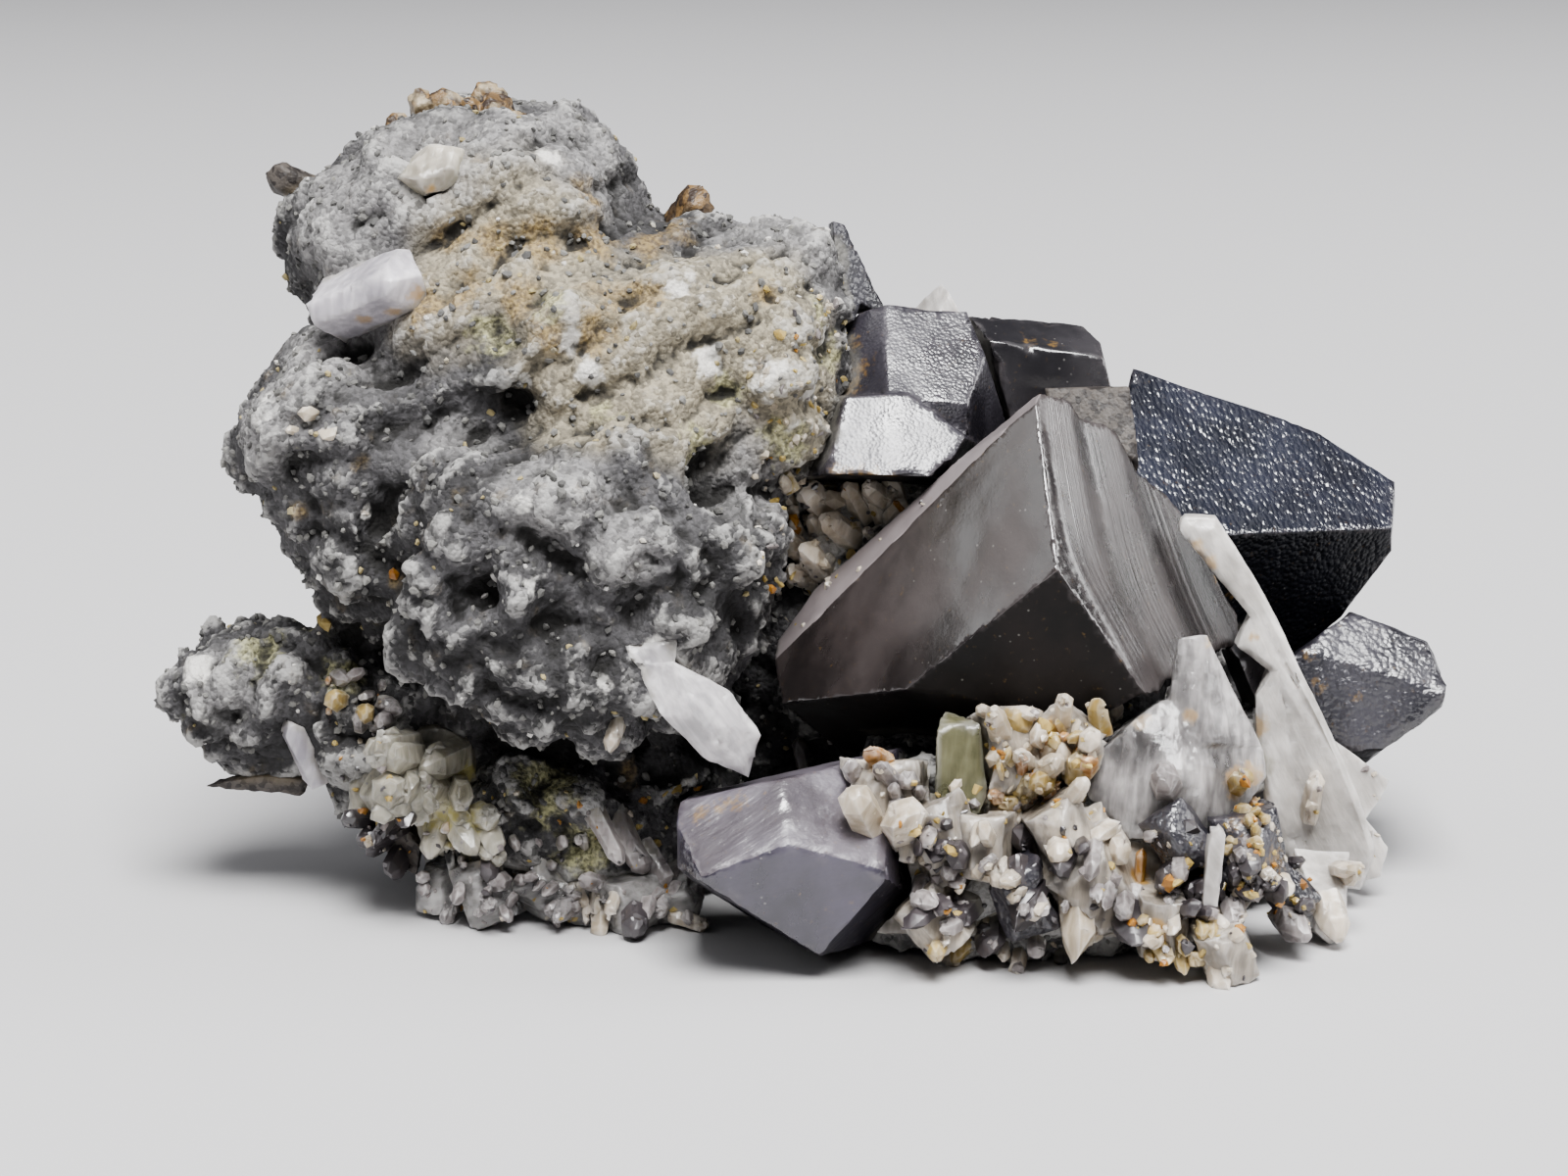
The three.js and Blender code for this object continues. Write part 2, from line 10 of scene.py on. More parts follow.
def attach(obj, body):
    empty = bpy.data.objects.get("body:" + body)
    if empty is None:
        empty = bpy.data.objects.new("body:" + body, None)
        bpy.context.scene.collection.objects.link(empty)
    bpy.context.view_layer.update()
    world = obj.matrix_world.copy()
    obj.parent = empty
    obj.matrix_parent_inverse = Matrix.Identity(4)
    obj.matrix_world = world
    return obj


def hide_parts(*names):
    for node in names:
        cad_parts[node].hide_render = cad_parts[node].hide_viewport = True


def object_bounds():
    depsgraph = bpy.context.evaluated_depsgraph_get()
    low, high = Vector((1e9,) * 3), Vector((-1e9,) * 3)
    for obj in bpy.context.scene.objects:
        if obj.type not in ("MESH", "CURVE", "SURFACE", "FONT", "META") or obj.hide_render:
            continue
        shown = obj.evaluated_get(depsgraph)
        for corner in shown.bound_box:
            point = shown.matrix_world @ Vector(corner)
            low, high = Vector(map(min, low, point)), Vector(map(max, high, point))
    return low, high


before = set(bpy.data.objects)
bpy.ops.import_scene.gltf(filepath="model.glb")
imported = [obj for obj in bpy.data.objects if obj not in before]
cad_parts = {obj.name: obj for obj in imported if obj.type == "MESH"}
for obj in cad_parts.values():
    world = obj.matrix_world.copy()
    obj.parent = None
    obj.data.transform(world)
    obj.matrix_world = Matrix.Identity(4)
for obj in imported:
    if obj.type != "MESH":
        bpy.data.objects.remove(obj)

MM = 0.001
cad_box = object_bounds()


# The set: a pale table top under soft studio light. The camera stands where the photograph was
# taken from, low in front of the specimen's show side.
LENS = 85
SENSOR = 36
CAMERA_ELEVATION = 12
CAMERA_REACH = 188.9
CAMERA_NEAREST = 5
AIM = Vector((-1.0, -5.0, 16.9))
TABLE_WIDTH = 3000
TABLE_COLOUR = (0.56, 0.555, 0.56)
ROOM_COLOUR = (0.80, 0.82, 0.9)
ROOM_STRENGTH = 0.16


def toward(azimuth, elevation):
    """The direction that looks out at an azimuth, 0 to the front and 90 to the right."""
    a, e = math.radians(azimuth), math.radians(elevation)
    return Vector((math.sin(a) * math.cos(e), -math.cos(a) * math.cos(e), math.sin(e)))


def show(made, name):
    """Adds an object to the scene under a name."""
    thing = bpy.data.objects.new(name, made)
    bpy.context.scene.collection.objects.link(thing)
    return thing


def look_from(thing, azimuth, elevation, reach):
    """Stands a camera or light off the specimen and turns it to it."""
    out = toward(azimuth, elevation)
    thing.location = (AIM + out * reach) * MM
    thing.rotation_euler = out.to_track_quat("Z", "Y").to_euler()


class Wire:
    """What a shader node gives out. Arithmetic on it adds Math nodes."""

    def __init__(self, finish, socket):
        self.finish = finish
        self.socket = socket

    def math(self, operation, first, second=0.0):
        return self.finish.node("Math", {"operation": operation}, {0: first, 1: second})

    def __add__(self, other):
        return self.math("ADD", self, other)

    def __sub__(self, other):
        return self.math("SUBTRACT", self, other)

    def __rsub__(self, other):
        return self.math("SUBTRACT", other, self)

    def __mul__(self, other):
        return self.math("MULTIPLY", self, other)

    __radd__ = __add__
    __rmul__ = __mul__

    def rise(self, low, high):
        """0 below low, 1 above high and smooth between."""
        return self.finish.node(
            "MapRange", {"interpolation_type": "SMOOTHSTEP"}, {0: self, 1: low, 2: high}
        )


class Finish:
    """A material and the nodes that make it. Lengths in it are in millimetres."""

    def __init__(self, name):
        self.material = bpy.data.materials.new(name)
        self.material.use_nodes = True
        self.tree = self.material.node_tree
        self.tree.nodes.clear()
        place = self.node("TexCoord", out="Object")
        self.place = self.node("Mapping", sockets={"Vector": place, "Scale": (1 / MM,) * 3})

    def node(self, kind, settings=None, sockets=None, out=0):
        made = self.tree.nodes.new("ShaderNode" + kind)
        for setting, value in (settings or {}).items():
            setattr(made, setting, value)
        for socket, value in (sockets or {}).items():
            if isinstance(value, Wire):
                self.tree.links.new(value.socket, made.inputs[socket])
            else:
                made.inputs[socket].default_value = value
        return Wire(self, made.outputs[out]) if made.outputs else None

    def cloud(self, size, detail=2.0, place=None):
        """Soft noise from 0 to 1 with features of a size."""
        return self.node("TexNoise", sockets={
            "Vector": place or self.place, "Scale": 1 / size, "Detail": detail})

    def cells(self, size, out="Distance", place=None):
        """Grains of a size: the distance from each grain's middle, or its own random colour."""
        return self.node("TexVoronoi", sockets={"Vector": place or self.place, "Scale": 1 / size}, out=out)

    def along(self, axis, squeeze):
        """The place with lengths along an axis divided, so that a pattern runs out along it."""
        axis = Vector(axis).normalized()
        run = self.node("VectorMath", {"operation": "DOT_PRODUCT"}, {0: self.place, 1: axis}, out="Value")
        shift = self.node("VectorMath", {"operation": "SCALE"}, {0: axis, "Scale": run * (1 / squeeze - 1)})
        return self.node("VectorMath", {"operation": "ADD"}, {0: self.place, 1: shift})

    def tint(self, share, first, second):
        """Goes from the first colour to the second."""
        first, second = ((*c, 1) if isinstance(c, tuple) else c for c in (first, second))
        return self.node("Mix", {"data_type": "RGBA"}, {0: share, 6: first, 7: second}, out=2)

    def mark(self, name):
        """A value that the mesh carries from vertex to vertex."""
        return self.node("Attribute", {"attribute_name": name}, out="Fac")

    def bump(self, height):
        """The normal of a surface with that relief, in millimetres."""
        return self.node("Bump", sockets={"Distance": MM, "Height": height})

    def surface(self, **sockets):
        named = {socket.replace("_", " "): value for socket, value in sockets.items()}
        return self.node("BsdfPrincipled", sockets=named)

    def done(self, surface, volume=None):
        self.node("OutputMaterial", sockets={"Surface": surface, **({"Volume": volume} if volume else {})})
        return self.material


camera = show(bpy.data.cameras.new("camera"), "camera")
camera.data.lens = LENS
camera.data.sensor_width = SENSOR
camera.data.clip_start = CAMERA_NEAREST * MM
look_from(camera, 0, CAMERA_ELEVATION, CAMERA_REACH)
bpy.context.scene.camera = camera

bm = bmesh.new()
bmesh.ops.create_grid(bm, x_segments=1, y_segments=1, size=TABLE_WIDTH / 2 * MM)
table_mesh = bpy.data.meshes.new("table")
bm.to_mesh(table_mesh)
table = show(table_mesh, "table")
paper = Finish("pale_paper")
table_mesh.materials.append(paper.done(paper.surface(Base_Color=(*TABLE_COLOUR, 1), Roughness=0.75)))

world = bpy.data.worlds.new("room")
world.use_nodes = True
world.node_tree.nodes["Background"].inputs["Color"].default_value = (*ROOM_COLOUR, 1)
world.node_tree.nodes["Background"].inputs["Strength"].default_value = ROOM_STRENGTH
bpy.context.scene.world = world
bpy.context.scene.view_settings.look = "AgX - Medium High Contrast"

# name: azimuth, elevation, reach, width, height, power in watts
SOFTBOXES = {
    "softbox_top": (10, 64, 1400, 760, 760, 42),
    "softbox_left": (-84, 34, 1500, 900, 600, 3),
    "softbox_right": (96, 25, 1400, 760, 660, 8),
    "softbox_ceiling": (0, 89, 1900, 2600, 2600, 9),
}
for name, (azimuth, elevation, reach, width, height, power) in SOFTBOXES.items():
    lamp = bpy.data.lights.new(name, "AREA")
    lamp.shape = "RECTANGLE"
    lamp.size = width * MM
    lamp.size_y = height * MM
    lamp.energy = power
    look_from(show(lamp, name), azimuth, elevation, reach)


# The rock: fine-grained and grey, knobbly where it broke along its grains, with ledges that slant
# down to the left, deep pits and cracks, and rust and yellow-green crusts. It grew round every
# crystal, so it closes up to each of them.
ROCK_VOXELS = (0.5, 0.3)
# pitch and height of the knobs, and length and reach of the noise that bends their rows
KNOBS = ((3.4, 1.6), (1.6, 0.65))
SMALL_KNOBS = ((0.85, 0.2), (0.45, 0.12))
KNOB_LEVEL = 0.6
WANDER = ((4.7, 1.4), (1.9, 0.7))
SMALL_WANDER = ((1.3, 0.3),)
WANDER_SEED = 7
# between these heights the knobs give way to ledges
NODULAR = (20.0, 27.0)
NODULES_ABOVE = 0.3
LEDGE_TILT = 28
LEDGE_PITCH = 2.7
LEDGE_HEIGHT = 0.9
# distances from a crystal between which the relief comes back, and the pull towards it ends
HOLD = (0.4, 1.4)
HELD = 0.2
TUCK = (0.5, 1.1)
TUCK_DEPTH = 0.12
TOUCHING = 0.01
# rounds of smoothing that the surface is set against, to tell high places from low ones
SETTLING = (25, 160)
SAME_PLACE = 0.002
SHARP_FROM = 35
FRAME = (1600, 1200)

# pixel of the 1600 by 1200 frame, radius, and how far the surface stands out or sinks
ROCK_FORMS = (
    (528, 412, 0.9, -1.4), (481, 612, 1.5, -1.8), (726, 495, 1.5, -1.5), (740, 585, 2.2, -1.6),
    (363, 342, 1.0, -0.8), (400, 442, 1.2, -0.7), (440, 450, 1.3, -0.8), (480, 440, 1.2, -0.7),
    (380, 385, 1.2, -0.6), (420, 372, 1.2, -0.7), (465, 362, 1.2, -0.7), (510, 352, 1.2, -0.6),
    (760, 715, 2.2, -1.6), (300, 480, 1.2, -1.0), (560, 640, 1.2, -1.2), (650, 620, 1.0, -1.0),
    (470, 490, 3.0, 1.1), (533, 600, 1.5, 1.4), (424, 664, 2.0, 1.0), (538, 513, 1.3, 0.9),
    (620, 590, 2.2, 1.0), (600, 480, 2.4, 0.9), (660, 455, 2.4, 1.2), (560, 700, 2.0, 0.9),
    (640, 700, 1.3, 0.9), (690, 650, 1.3, 0.9), (270, 430, 2.6, 0.7), (440, 600, 1.8, 0.8),
    (590, 130, 2.2, 0.8), (520, 380, 1.3, 0.7), (700, 300, 2.2, 0.6), (800, 380, 2.0, 0.7),
)
# pixel and radius of each stain
OCHRE_STAINS = (
    (430, 312, 2.2), (470, 300, 2.0), (462, 240, 1.8), (505, 252, 2.2), (552, 258, 2.4), (604, 250, 2.4),
    (600, 200, 2.0), (640, 305, 2.6), (604, 334, 2.0), (561, 343, 1.8), (690, 235, 1.6), (368, 475, 0.8),
    (403, 587, 0.9), (788, 603, 0.7), (302, 522, 0.8), (660, 250, 1.8), (530, 300, 2.0), (780, 300, 1.4),
    (900, 775, 2.0), (740, 825, 2.0), (640, 790, 1.2),
)
GREEN_STAINS = (
    (641, 437, 2.0), (703, 452, 2.0), (615, 425, 1.6), (844, 362, 2.0), (835, 320, 1.6), (264, 664, 2.2),
    (325, 640, 1.8), (350, 690, 2.0), (800, 450, 2.2), (560, 300, 2.0), (640, 160, 1.8), (500, 340, 2.0),
    (560, 800, 3.0), (480, 860, 2.6), (600, 870, 2.6), (740, 400, 2.0),
)
PALE_STAINS = (
    (788, 381, 1.6), (821, 390, 1.4), (840, 343, 1.3), (693, 296, 1.2), (528, 386, 0.9), (538, 513, 1.0),
    (335, 442, 0.6), (316, 423, 0.6), (726, 508, 1.0), (372, 522, 0.6), (533, 603, 0.9), (424, 664, 1.2),
    (670, 664, 1.0), (731, 253, 0.5), (849, 513, 1.0), (280, 425, 1.6), (580, 345, 1.0), (860, 440, 1.0),
    (690, 690, 0.9), (610, 700, 0.9), (200, 680, 1.4), (560, 160, 1.0), (720, 370, 1.3), (600, 380, 1.2),
    (840, 560, 2.2), (880, 520, 2.2), (820, 500, 2.0), (850, 600, 1.6), (920, 505, 1.6),
)
TAN_STAINS = (
    (520, 260, 8), (620, 330, 8), (720, 330, 8), (820, 380, 7), (700, 400, 6), (850, 480, 4), (450, 300, 5),
    (780, 300, 6), (900, 560, 4), (600, 420, 5),
)
# pixel and radius of each patch where the rock is painted lighter, most of them on its top: painted light,
# not a stain
PAINTED_LIGHT_PATCHES = (
    (350, 200, 7), (320, 330, 6), (450, 150, 7), (580, 150, 6), (800, 250, 6), (760, 450, 6), (270, 430, 4),
    (230, 690, 4), (560, 500, 4), (470, 470, 3), (640, 560, 3),
)

CRYSTALS = [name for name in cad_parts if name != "matrix"]


def rise(value, low, high):
    t = min(1.0, max(0.0, (value - low) / (high - low)))
    return t * t * (3 - 2 * t)


def copy_of(*nodes):
    """The merged mesh of some CAD nodes, in millimetres."""
    bm = bmesh.new()
    for node in nodes:
        bm.from_mesh(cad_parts[node].data)
    bmesh.ops.scale(bm, vec=(1 / MM,) * 3, verts=bm.verts)
    bmesh.ops.remove_doubles(bm, verts=bm.verts, dist=SAME_PLACE)
    return bm


def skin_of(*nodes):
    bm = copy_of(*nodes)
    skin = BVHTree.FromBMesh(bm)
    bm.free()
    return skin


pieces = []


def finished(made, name, slot, nodes, material, smooth=SHARP_FROM):
    """Makes a piece from a bmesh or a mesh in millimetres, kept inside the CAD model's box."""
    mesh = made
    if isinstance(made, bmesh.types.BMesh):
        mesh = bpy.data.meshes.new(name)
        made.to_mesh(mesh)
        made.free()
    places = np.empty(3 * len(mesh.vertices), np.float32)
    mesh.vertices.foreach_get("co", places)
    places = np.clip(places.reshape(-1, 3) * MM, *(np.array(corner) for corner in cad_box))
    mesh.vertices.foreach_set("co", places.astype(np.float32).ravel())
    mesh.update()
    mesh.shade_smooth()
    mesh.set_sharp_from_angle(angle=math.radians(smooth))
    mesh.materials.append(material)
    thing = show(mesh, name)
    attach(thing, "root")
    if nodes:
        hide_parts(*nodes)
    pieces.append(thing)
    return thing


def marked(thing, name, values):
    """Lays a number on each vertex for the material to read."""
    layer = thing.data.attributes.new(name, "FLOAT", "POINT")
    layer.data.foreach_set("value", np.asarray(values, np.float32))


def places_of(thing):
    places = np.empty(3 * len(thing.data.vertices), np.float32)
    thing.data.vertices.foreach_get("co", places)
    return places.reshape(-1, 3) / MM


def seen(u, v, skin):
    """The place on a skin, and its outward direction, at a pixel of the 1600 by 1200 frame."""
    out, up = toward(0, CAMERA_ELEVATION), toward(0, CAMERA_ELEVATION + 90)
    ray = Vector((u - FRAME[0] / 2, 0, 0)) + up * (FRAME[1] / 2 - v)
    return skin.ray_cast(AIM + out * CAMERA_REACH, ray * SENSOR / FRAME[0] - out * LENS)[:2]


def spots_on(skin, pixels):
    found = ((seen(u, v, skin)[0], radius) for u, v, radius in pixels)
    return [(np.array(place), radius) for place, radius in found if place]


def nearness(places, spots):
    """1 in the middle of a spot and 0 at its rim and beyond."""
    share = np.zeros(len(places))
    for middle, radius in spots:
        share = np.maximum(share, 1 - np.linalg.norm(places - middle, axis=1) / radius)
    return share


def voxelled(bm, voxel):
    """The mesh remade from voxels, which evens it out and closes what cuts through itself."""
    mesh = bpy.data.meshes.new("lump")
    bm.to_mesh(mesh)
    bm.free()
    lump = show(mesh, "lump")
    remesh = lump.modifiers.new("voxels", "REMESH")
    remesh.mode = "VOXEL"
    remesh.voxel_size = voxel
    ready = bpy.data.meshes.new_from_object(lump.evaluated_get(bpy.context.evaluated_depsgraph_get()))
    fresh = bmesh.new()
    fresh.from_mesh(ready)
    bpy.data.objects.remove(lump)
    bpy.data.meshes.remove(mesh)
    bpy.data.meshes.remove(ready)
    return fresh


def smoothed(bm, verts, times, factor=0.5):
    for _ in range(times):
        bmesh.ops.smooth_vert(
            bm, verts=verts, factor=factor, use_axis_x=True, use_axis_y=True, use_axis_z=True)


def knob(place, size):
    """1 on the middle of a knob, and 0 in the crevice round it."""
    near, far = noise.voronoi(place / size + Vector((size,) * 3))[0][:2]
    return (max(0.0, 1 - (near / 0.8) ** 2) * min(1.0, 3 * (far - near))) ** 0.5


whole_skin = skin_of(*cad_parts)
crystal_skin = skin_of(*CRYSTALS)
rock_forms = [(seen(u, v, whole_skin)[0], radius, height) for u, v, radius, height in ROCK_FORMS]
ledge_up = Vector((-math.sin(math.radians(LEDGE_TILT)), 0.25, math.cos(math.radians(LEDGE_TILT))))

# without a seed, noise_vector gives another rock each run
noise.seed_set(WANDER_SEED)


def wandered(place, wander):
    return sum((noise.noise_vector(place / length) * reach for length, reach in wander), place)


def knobbly(place, knobs):
    return sum(size * (knob(place, pitch) - KNOB_LEVEL) for pitch, size in knobs)


def coarse_relief(place):
    wander = wandered(place, WANDER)
    nodular = 1 - rise(place.z, *NODULAR) * (1 - NODULES_ABOVE)
    height = knobbly(wander, KNOBS) * nodular
    layer = (wander.dot(ledge_up) / LEDGE_PITCH) % 1
    height += LEDGE_HEIGHT * (1 - nodular) * (rise(layer, 0, 0.3) - rise(layer, 0.8, 1) - 0.5)
    for middle, radius, change in rock_forms:
        if middle and (place - middle).length < radius * 1.6:
            height += change * (1 - rise((place - middle).length / radius, 0.2, 1.6))
    return height


def fine_relief(place):
    return knobbly(wandered(place, SMALL_WANDER), SMALL_KNOBS)


def weather(bm, relief):
    """Moves a rock mesh along its normals, less so where a crystal is near."""
    bm.normal_update()
    shifts = []
    for vert in bm.verts:
        gap = crystal_skin.find_nearest(vert.co, HOLD[1])[3]
        hold = 1.0 if gap is None else rise(gap, *HOLD)
        shifts.append(vert.normal * relief(vert.co) * (HELD + (1 - HELD) * hold))
    for vert, shift in zip(bm.verts, shifts):
        vert.co += shift
        vert.co.z = max(vert.co.z, 0)


def tuck(bm):
    """Draws the rock up to the crystals, and a little into them, so that it holds them."""
    for vert in bm.verts:
        near, _, _, gap = crystal_skin.find_nearest(vert.co, TUCK[1])
        if near and gap > TOUCHING:
            pull = (near - vert.co) / gap
            vert.co += pull * (gap + TUCK_DEPTH) * (1 - rise(gap, *TUCK))
            vert.co.z = max(vert.co.z, 0)


rock = voxelled(copy_of("matrix"), ROCK_VOXELS[0])
smoothed(rock, rock.verts, 1)
weather(rock, coarse_relief)
rock = voxelled(rock, ROCK_VOXELS[1])
weather(rock, fine_relief)
tuck(rock)
rock.normal_update()
settled = rock.copy()
heights = []
for times in SETTLING:
    smoothed(settled, settled.verts, times)
    heights.append([(vert.co - low.co).dot(vert.normal) for vert, low in zip(rock.verts, settled.verts)])
settled.free()
rock_skin = BVHTree.FromBMesh(rock)
rock_faces = [(face.calc_center_median(), face.normal.copy(), face.calc_area()) for face in rock.faces]

stone = Finish("sugary_grey_rock")
blotch = stone.cloud(6, 4).rise(0.38, 0.62)
sugar = stone.cloud(0.25, 3)
grain = stone.cells(0.26, "Color")
height = stone.mark("height")
lump = stone.mark("lump")
tan_here = stone.mark("tan") + stone.cloud(2.4, 3) * 0.6 - 0.45
grey = stone.tint(blotch, (0.05, 0.048, 0.05), (0.12, 0.116, 0.12))
# the rock is painted lighter at the light patches: painted light
painted_light_here = stone.mark("light") + stone.cloud(2.4, 3) * 0.6 - 0.4
grey = stone.tint(painted_light_here.rise(0, 0.5), grey, (0.27, 0.262, 0.26))
grey = stone.tint(tan_here.rise(0, 0.5), grey, (0.36, 0.32, 0.24))
shade = (grain * 0.45 + sugar * 0.55).rise(0.25, 0.7)
grey = stone.tint(shade, stone.tint(0.6, grey, (0.02, 0.02, 0.018)), grey)
# the tops of the knobs and other high places are painted lighter, broken up by the grain: painted highlight
grey = stone.tint((grain * 0.5 + height * 1.8 + lump * 0.4).rise(0.55, 1.25) * 0.62, grey, (0.52, 0.51, 0.49))
ochre_here = (stone.mark("ochre") + stone.cloud(1.4, 5) * 1.7 - 1.0).rise(0, 0.7)
green_here = (stone.mark("green") + stone.cloud(0.9, 4) * 1.6 - 1.1).rise(0, 0.45)
pale_here = (stone.mark("pale") + stone.cloud(0.7, 3) * 1.3 - 0.85).rise(0, 0.35)
speck = sugar.rise(0.35, 0.65)
coloured = stone.tint(ochre_here * 0.6, grey, stone.tint(speck, (0.1, 0.058, 0.016), (0.36, 0.25, 0.085)))
coloured = stone.tint(green_here * 0.65, coloured, stone.tint(speck, (0.15, 0.145, 0.07), (0.56, 0.54, 0.3)))
coloured = stone.tint(pale_here * 0.85, coloured, (0.74, 0.72, 0.68))
# low places and deep hollows of the rock are painted near black: painted shade in its crevices
coloured = stone.tint((height * -1).rise(0.03, 0.28) * 0.9, coloured, (0.012, 0.011, 0.01))
coloured = stone.tint((lump * -1).rise(0.15, 1.0) * 0.85, coloured, (0.012, 0.011, 0.01))
relief = stone.cells(0.26) * -0.08 + sugar * 0.12
rock_look = stone.done(stone.surface(
    Base_Color=coloured, Roughness=0.85 - pale_here * 0.3, Normal=stone.bump(relief)))

rock = finished(rock, "rock", "grey_rock", ["matrix"], rock_look, smooth=180)
marked(rock, "height", heights[0])
marked(rock, "lump", heights[1])
# the stains, and the light patches, which are painted light
stains = {
    "ochre": OCHRE_STAINS, "green": GREEN_STAINS, "pale": PALE_STAINS, "tan": TAN_STAINS,
    "light": PAINTED_LIGHT_PATCHES,
}
for name, pixels in stains.items():
    marked(rock, name, nearness(places_of(rock), spots_on(whole_skin, pixels)))


# Crumbs of the rock: angular grains that have come half loose from it, with pale and rusty ones
# among them. They are stuck on all over, away from the crystals.
CRUMBS = 6000
CRUMB_SIZES = (0.1, 0.24)
CRUMB_CLEARANCE = 0.35
CRUMB_FLOOR = 0.3
GRAIN_TILT = 0.7
GRAIN_SHARP_FROM = 20


def jagged(shape, amount, seed):
    """The corners and faces of a small irregular grain."""
    dice = np.random.default_rng(seed)
    corners = np.array([vert.co for vert in shape.verts])
    corners *= 1 + amount * dice.uniform(-1, 1, (len(corners), 1))
    sides = [[vert.index for vert in face.verts] for face in shape.faces]
    return corners, sides


def grain_shapes(count):
    bm = bmesh.new()
    bmesh.ops.create_icosphere(bm, subdivisions=1, radius=1)
    shapes = [jagged(bm, 0.28, seed) for seed in range(count)]
    bm.free()
    return shapes


def strewn(name, shapes, spots, seed, stretch=(0.65, 1.35)):
    """One mesh of many small grains. A spot is a place, the direction out of it, and a size."""
    dice = np.random.default_rng(seed)
    corners, sides, tones = [], [], []
    for place, out, size in spots:
        shape, faces = shapes[dice.integers(len(shapes))]
        tilt = Vector(dice.uniform(-GRAIN_TILT, GRAIN_TILT, 3)).to_track_quat("Z", "Y")
        turn = out.to_track_quat("Z", "Y") @ tilt
        sides += [[len(tones) + corner for corner in face] for face in faces]
        tones += [dice.random()] * len(shape)
        corners.append((shape * size * dice.uniform(*stretch, 3)) @ np.array(turn.to_matrix()).T + place)
    mesh = bpy.data.meshes.new(name)
    mesh.from_pydata(np.concatenate(corners).tolist(), [], sides)
    layer = mesh.attributes.new("tone", "FLOAT", "POINT")
    layer.data.foreach_set("value", tones)
    return mesh


def picks(faces, count, seed, sizes):
    """Random places on some faces, as many for each area, with a size for each."""
    dice = np.random.default_rng(seed)
    share = np.array([area for _, _, area in faces])
    for index in dice.choice(len(faces), count, p=share / share.sum()):
        place, out, _ = faces[index]
        yield place, out, dice.uniform(*sizes)


crumb = Finish("rock_crumbs")
tone = crumb.mark("tone")
rusty_crumb, glassy_crumb = tone.rise(0.9, 0.91), tone.rise(0.96, 0.97)
crumb_colour = crumb.tint(tone.rise(0, 0.9), (0.1, 0.098, 0.095), (0.24, 0.235, 0.22))
crumb_colour = crumb.tint(rusty_crumb, crumb_colour, (0.36, 0.3, 0.16))
crumb_colour = crumb.tint(glassy_crumb, crumb_colour, (0.6, 0.58, 0.55))
crumb_look = crumb.done(crumb.surface(
    Base_Color=crumb_colour, Roughness=0.8 - glassy_crumb * 0.45,
    Normal=crumb.bump(crumb.cloud(0.12) * 0.05)))
crumb_spots = [
    (place, out, size) for place, out, size in picks(rock_faces, CRUMBS, 3, CRUMB_SIZES)
    if place.z > CRUMB_FLOOR and crystal_skin.find_nearest(place, CRUMB_CLEARANCE)[0] is None]
finished(strewn("rock_crumbs", grain_shapes(8), crumb_spots, 4), "rock_crumbs", "grey_rock", [],
         crumb_look, GRAIN_SHARP_FROM)


# The main cassiterite crystal: heavy black tin ore with an almost metallic shine. Its left face is
# flat but for faint waves, with a bevel along the top that is painted lighter as a highlight, its right face
# carries growth bands that bend round the lower corner, and its underside, which grew against rock, is dull
# and painted dark as shade.
CASSITERITE_IOR = 2.0
DULL_IOR = 1.3
CELL = 0.42
ON_PLANE = 0.001
# edges that turn by more degrees wear, and they chip where the noise is high
WORN_FROM = 14
WEAR = 2
CHIPPED = (0.22, 0.5)
CHIP_SHIFT = Vector((31, 7, 3))
CHIP_SIZE = 0.9
CHIP_DEPTH = 0.3
MAIN_CHIPS = 0.1
# length and height of the waves in a face
WAVES = ((3.3, 0.06), (1.1, 0.016))
# how near the rock the dust lies
SEAM = 1.1
BANDED = toward(58, 26)
BAND_RUN = toward(6.8, -52.1)
BAND_TURN = Vector((12.6, -12.9, 19.66))
# millimetres across the bands, and how high the face stands there
BANDS = ((0, 0), (2.0, 0.46), (3.7, 0.0), (6.4, 0.52), (8.8, 0.0), (11.5, 0.5), (14, 0))
BAND_STEP = 0.55
BAND_STEP_HEIGHT = 0.07
BAND_CELL = 0.26
# the place and the direction of the bevel that was cut along the top of the left face
BEVEL = (Vector((10.8, -7.69, 26.35)), toward(-73.9, 40.2))
# radians that an edge turns by where its painted highlight starts, and where it is full
EDGE_TURN = (0.3, 0.9)
# pixel and radius of the rust on the crystals
RUST = (
    (1222, 560, 0.8), (1232, 575, 0.8), (1243, 592, 0.8), (1255, 606, 0.6), (1165, 735, 0.8),
    (1215, 730, 0.7), (1262, 800, 1.3), (1275, 790, 1.2), (1285, 740, 0.9), (1262, 840, 1.0),
    (1108, 782, 1.2), (1075, 745, 0.9), (1040, 812, 0.9), (1018, 812, 0.9), (1130, 745, 0.7),
    (1163, 898, 1.0), (1180, 950, 1.0), (900, 775, 1.2), (955, 968, 0.8), (425, 300, 0.8), (400, 318, 0.8),
    (372, 326, 0.7), (440, 195, 0.6), (872, 350, 1.0), (880, 375, 1.1), (868, 395, 1.2), (858, 482, 1.0),
    (885, 484, 1.0), (908, 486, 1.0), (475, 790, 1.1), (460, 830, 1.5), (490, 835, 1.4), (470, 855, 1.2),
    (440, 845, 0.9), (1300, 880, 1.4), (500, 880, 1.0), (1050, 348, 0.7), (1075, 351, 0.7),
    (1335, 668, 0.6), (1346, 700, 0.7), (1385, 712, 0.6), (716, 830, 0.9), (733, 824, 0.9), (752, 819, 0.9),
    (1235, 655, 0.6), (1280, 650, 0.5),
)
rust_spots = spots_on(whole_skin, RUST)


